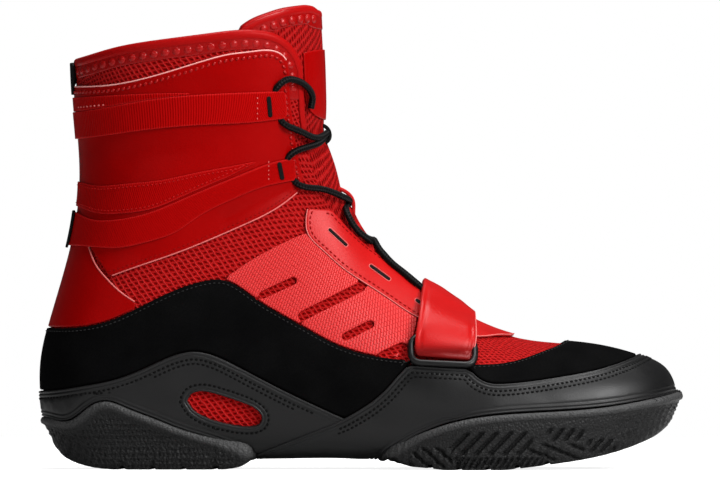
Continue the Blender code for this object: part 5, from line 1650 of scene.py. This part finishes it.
# Binding round the collar and the tongue's top
def bindingPiece(name, rims, place, keep, thickness, reach):
    rimAlong, rimAround, inAlong, inAround = max(rims, key=lambda edgeWearAndHighlight: place(edgeWearAndHighlight[0], edgeWearAndHighlight[1])[:, 2].max())
    edge = place(rimAlong, rimAround)
    inward = unit(place(inAlong, inAround) - edge)
    normals = lastNormals(rimAlong, rimAround)
    for _ in range(8):
        inward = unit(np.roll(inward, 1, 0) + inward + np.roll(inward, -1, 0))
    back = -thickness
    # out from the surface, in from the rim
    profile = np.array(((0.3, reach), (0.6, reach - 0.4), (0.75, reach * 0.55), (0.72, 0.9), (0.45, -0.1),
                        (-0.3, -0.75), (back / 2, -0.95), (back + 0.3, -0.75), (back - 0.45, -0.1),
                        (back - 0.72, 0.9), (back - 0.75, reach * 0.55), (back - 0.6, reach - 0.4),
                        (back - 0.3, reach), (back + 0.1, reach - 0.2), (back + 0.1, 0.3), (-0.1, 0.3),
                        (-0.1, reach - 0.2)))
    runs, _ = runsOf(keep(edge))
    run = max(runs, key=len)
    points = (edge[run][:, None] + normals[run][:, None] * profile[None, :, :1]
              + inward[run][:, None] * profile[None, :, 1:]).reshape(-1, 3)
    sizes = len(run), len(profile)
    faces = ringFaces(*sizes, flip=True) + endFaces(*sizes, flip=True)
    return finishPiece(meshObject(name, points, faces), "leatherRed", "leather_red")


def bandGap(reach, gapAt, lowest):
    def gapIn(points):
        gap = gapAt(points)
        return np.minimum(np.minimum(gap, reach - gap), points[:, 2] - lowest)
    return gapIn


bands = {"CollarBand": (panelPlace(0.05, 0.4), bandGap(8.0, upperGap, 166.0)),
         "TongueBand": (panelPlace(-2.0, -1.5), bandGap(7.6, tongueGap, 188.0))}
for name, (place, gapAt) in bands.items():
    finishPiece(buildSkin(name, skinGrid, place, gapAt, edges["thin"])[0], "leatherGloss", "leather_red")
bindingPiece("CollarBinding", upperRims, upperPlace, lambda p: p[:, 2] > 152, 1.8, 3.1)
bindingPiece("TongueBinding", tongueRims, tonguePlace, lambda p: p[:, 2] > 186, 3.9, 3.0)
puckers = {"look": "leatherGloss", "slot": "leather_red", "spacing": 5.0, "size": (4.6, 4.2, 1.8),
           "turn": 35.0}


def offTab(points):  # the collar, but not behind the pull tab
    return (points[:, 2] > 170) & ((np.abs(points[:, 1]) > 9.0) | (points[:, 0] > -80.0))


def tongueTop(points):
    return (points[:, 2] > 191) & (points[:, 0] < -21)


collarRow = levelPaths(upperGrid, upperPlace, upperGap, 5.3, offTab)
tongueRow = levelPaths(skinGrid, tonguePlace, tongueGap, 5.2, tongueTop)
stitchPiece("CollarPuckers", collarRow, rise=-0.05, **puckers)
stitchPiece("TonguePuckers", tongueRow, rise=0.4, **puckers)

# Piping lines
stayLow = line("eyestay low")
piping = {
    "PanelTopPiping": {"panel": "shaft_panel", "edge": line("panel top"), "near": 0.9, "look": "pipingPale",
                       "radius": 0.3, "rise": -0.1, "lowest": 169.0, "foremost": -33.0},
    "PanelLowPiping": {"panel": "shaft_panel", "edge": line("panel low"), "near": 0.6, "radius": 0.3,
                       "rise": -0.1},
    "CounterPiping": {"panel": "heel_counter", "edge": line("counter front"), "near": 0.6, "radius": 0.35,
                      "rise": -0.1},
    "EyestayPiping": {"panel": "eyestay", "edge": stayLow, "near": 0.6, "radius": 0.28, "rise": -0.1},
    "StrapEdge": {"panel": "instep_strap", "edge": line("strap front edge"), "near": 0.8, "radius": 0.3,
                  "rise": -0.35},
}


def edgePiping(name, panel, edge, near, radius, rise, look="pipingPink", lowest=-400.0, foremost=400.0):
    def keep(points):
        return nearLine(points, edge, near) & (points[:, 2] > lowest) & (points[:, 0] < foremost)
    pipePiece(name, rimPaths(rimOf[panel], places[panel], keep), look, "leather_red", radius, rise)


for name, size in piping.items():
    edgePiping(name, **size)


# Stitch rows
def edgeStitches(name, panel, level, edge, look, slot, span=(-400.0, 400.0), apart=None, **thread):
    def keep(points):
        kept = nearLine(points, edge, level + 1.0) & (points[:, 0] > span[0]) & (points[:, 0] < span[1])
        return kept if apart is None else kept & ~nearLine(points, apart, level + 0.8)
    paths = levelPaths(skinGrid, places[panel], gapOf[panel], level, keep)
    return stitchPiece(name, paths, look, slot, **thread)


randEdge = np.vstack((line("rand top"), line("rand tab"), line("rand rear edge")))
randThread = {"look": "threadBlack", "slot": "rand_black", "spacing": 2.2, "size": (1.7, 1.15, 0.7),
              "rise": -0.05}
for number, (level, back, tip) in enumerate(((3.5, -200.0, -21.0), (5.4, -92.0, -30.0))):
    edgeStitches(f"RandStitches{number}", "rand_front", level, randEdge, apart=podEdge, **randThread)
    edgeStitches(f"RandRearStitches{number}", "rand_rear", level, line("rand rear top"), span=(back, tip),
                 apart=outlines["oval"], **randThread)
edgeStitches("OvalStitches", "rand_rear", 3.2, outlines["oval"], apart=line("heel pod"), **randThread)
rows = {
    "SuedeStitches": {"panel": "suede_foxing", "level": 1.6, "look": "threadGrey", "slot": "suede_black",
                      "edge": np.vstack((line("suede rear"), line("suede front"))), "spacing": 2.1,
                      "size": (1.3, 0.5, 0.45)},
    "EyestayStitches": {"panel": "eyestay", "level": 1.9, "look": "threadDark", "slot": "leather_red",
                        "edge": np.vstack((stayLow, line("eyestay top")[::-1])), "span": (-400.0, 50.0),
                        "spacing": 2.4, "size": (1.7, 0.75, 0.5)},
    "PanelTopStitches": {"panel": "shaft_panel", "level": 2.5, "look": "leatherGloss", "slot": "leather_red",
                         "edge": line("panel top"), "spacing": 2.7, "size": (2.2, 1.4, 1.0), "rise": 0.15,
                         "turn": 30.0},
    "PanelLowStitches": {"panel": "shaft_panel", "level": 1.9, "look": "threadDark", "slot": "leather_red",
                         "edge": line("panel low"), "spacing": 2.2, "size": (1.4, 0.45, 0.35)},
    "StripStitches": {"panel": "strip_lower", "level": 1.5, "look": "threadRed", "slot": "webbing_red",
                      "edge": line("strip lower top"), "spacing": 2.0, "size": (1.2, 0.45, 0.4)},
    "StripDiagonal": {"panel": "strip_lower", "level": 1.5, "look": "threadRed", "slot": "webbing_red",
                      "edge": line("strip lower low"), "spacing": 2.0, "size": (1.2, 0.45, 0.4)},
}
for name, row in rows.items():
    edgeStitches(name, **row)


def sideRow(first, last, count, rise):  # a straight row on each side
    return [(*overSide(np.linspace(first, last, count), rise, side), False) for side in (-1, 1)]


dotPaths = sideRow((-126.4, 162.5), (-115.2, 163.6), 12, 2.15)
columnPaths = (sideRow((-46.0, 157.4), (-46.0, 166.6), 14, 2.55)
               + sideRow((-41.0, 130.4), (-41.0, 138.0), 14, 2.55))
stitchPiece("StripDots", dotPaths, "pipingPink", "webbing_red", spacing=2.5, size=(1.2, 0.8, 0.6))
stitchPiece("WebbingColumns", columnPaths, "pipingPink", "webbing_red", spacing=1.9, size=(0.8, 0.5, 0.4))
print("rows done")

# Camera and light
view = {"width": 0.324, "middle": (0.0, 0.0, 0.1033), "distance": 9.0, "elevation": 0.3}
lights = {
    "key": {"place": (1.15, -1.0, 0.95), "size": (0.7, 0.7), "power": 36.0},
    "fill": {"place": (-0.9, -1.3, 0.55), "size": (0.9, 0.6), "power": 2.2},
    "front strip": {"place": (0.1, -1.5, 0.42), "size": (1.6, 0.1), "power": 2.2},
    "top": {"place": (0.15, 0.0, 1.4), "size": (1.2, 0.8), "power": 21.0},
}
floorLook = {"reach": 0.9, "deep": (0.58, 0.58, 0.58), "bright": (0.62, 0.62, 0.62), "glow": 0.85}


def makeCamera():
    data = bpy.data.cameras.new("sideCamera")
    data.sensor_width = 36.0
    data.lens = 36.0 * view["distance"] / view["width"]
    data.clip_end = 50.0
    item = addObject("sideCamera", data)
    lean = np.radians(view["elevation"])
    middle = Vector(view["middle"])
    item.location = middle + Vector((0, -np.cos(lean), np.sin(lean))) * view["distance"]
    item.rotation_euler = (middle - item.location).to_track_quat("-Z", "Y").to_euler()
    bpy.context.scene.camera = item


def areaLight(name, place, size, power):
    data = bpy.data.lights.new(name, "AREA")
    data.shape = "RECTANGLE"
    data.size, data.size_y = size
    data.energy = power
    item = addObject(name, data)
    item.location = place
    item.rotation_euler = (Vector((0, 0, 0.09)) - Vector(place)).to_track_quat("-Z", "Y").to_euler()


def makeFloor():
    mesh = bpy.data.meshes.new("floor")
    reach = floorLook["reach"]
    corners = [(-reach, -reach, 0), (reach, -reach, 0), (reach, reach, 0), (-reach, reach, 0)]
    mesh.from_pydata(corners, [], [(0, 1, 2, 3)])
    floor = addObject("floor", mesh)
    material, tree, shader = newMaterial("paleFloor", 0.6)
    noise = noiseAt(tree, objectPlace(tree), 6.0)
    colour = mixColour(tree, noise, floorLook["deep"], floorLook["bright"])
    tree.links.new(colour, shader.inputs["Base Color"])
    shader.inputs["Emission Color"].default_value = (1.0, 1.0, 1.0, 1.0)
    viewed = addNode(tree, "ShaderNodeLightPath").outputs["Is Camera Ray"]  # pale, with little bounce
    tree.links.new(maths(tree, "MULTIPLY", viewed, floorLook["glow"]), shader.inputs["Emission Strength"])
    floor.data.materials.append(material)


makeCamera()
makeFloor()
for name, light in lights.items():
    areaLight(name, **light)
world = bpy.data.worlds.new("studio")
world.use_nodes = True
seen = addNode(world.node_tree, "ShaderNodeLightPath").outputs["Is Camera Ray"]
strength = maths(world.node_tree, "MULTIPLY_ADD", seen, 0.95, 0.05)  # white behind, dim all round
background = world.node_tree.nodes["Background"]
background.inputs[0].default_value = (1.0, 1.0, 1.0, 1.0)
world.node_tree.links.new(strength, background.inputs[1])
bpy.context.scene.world = world
bpy.context.scene.view_settings.view_transform = "Standard"
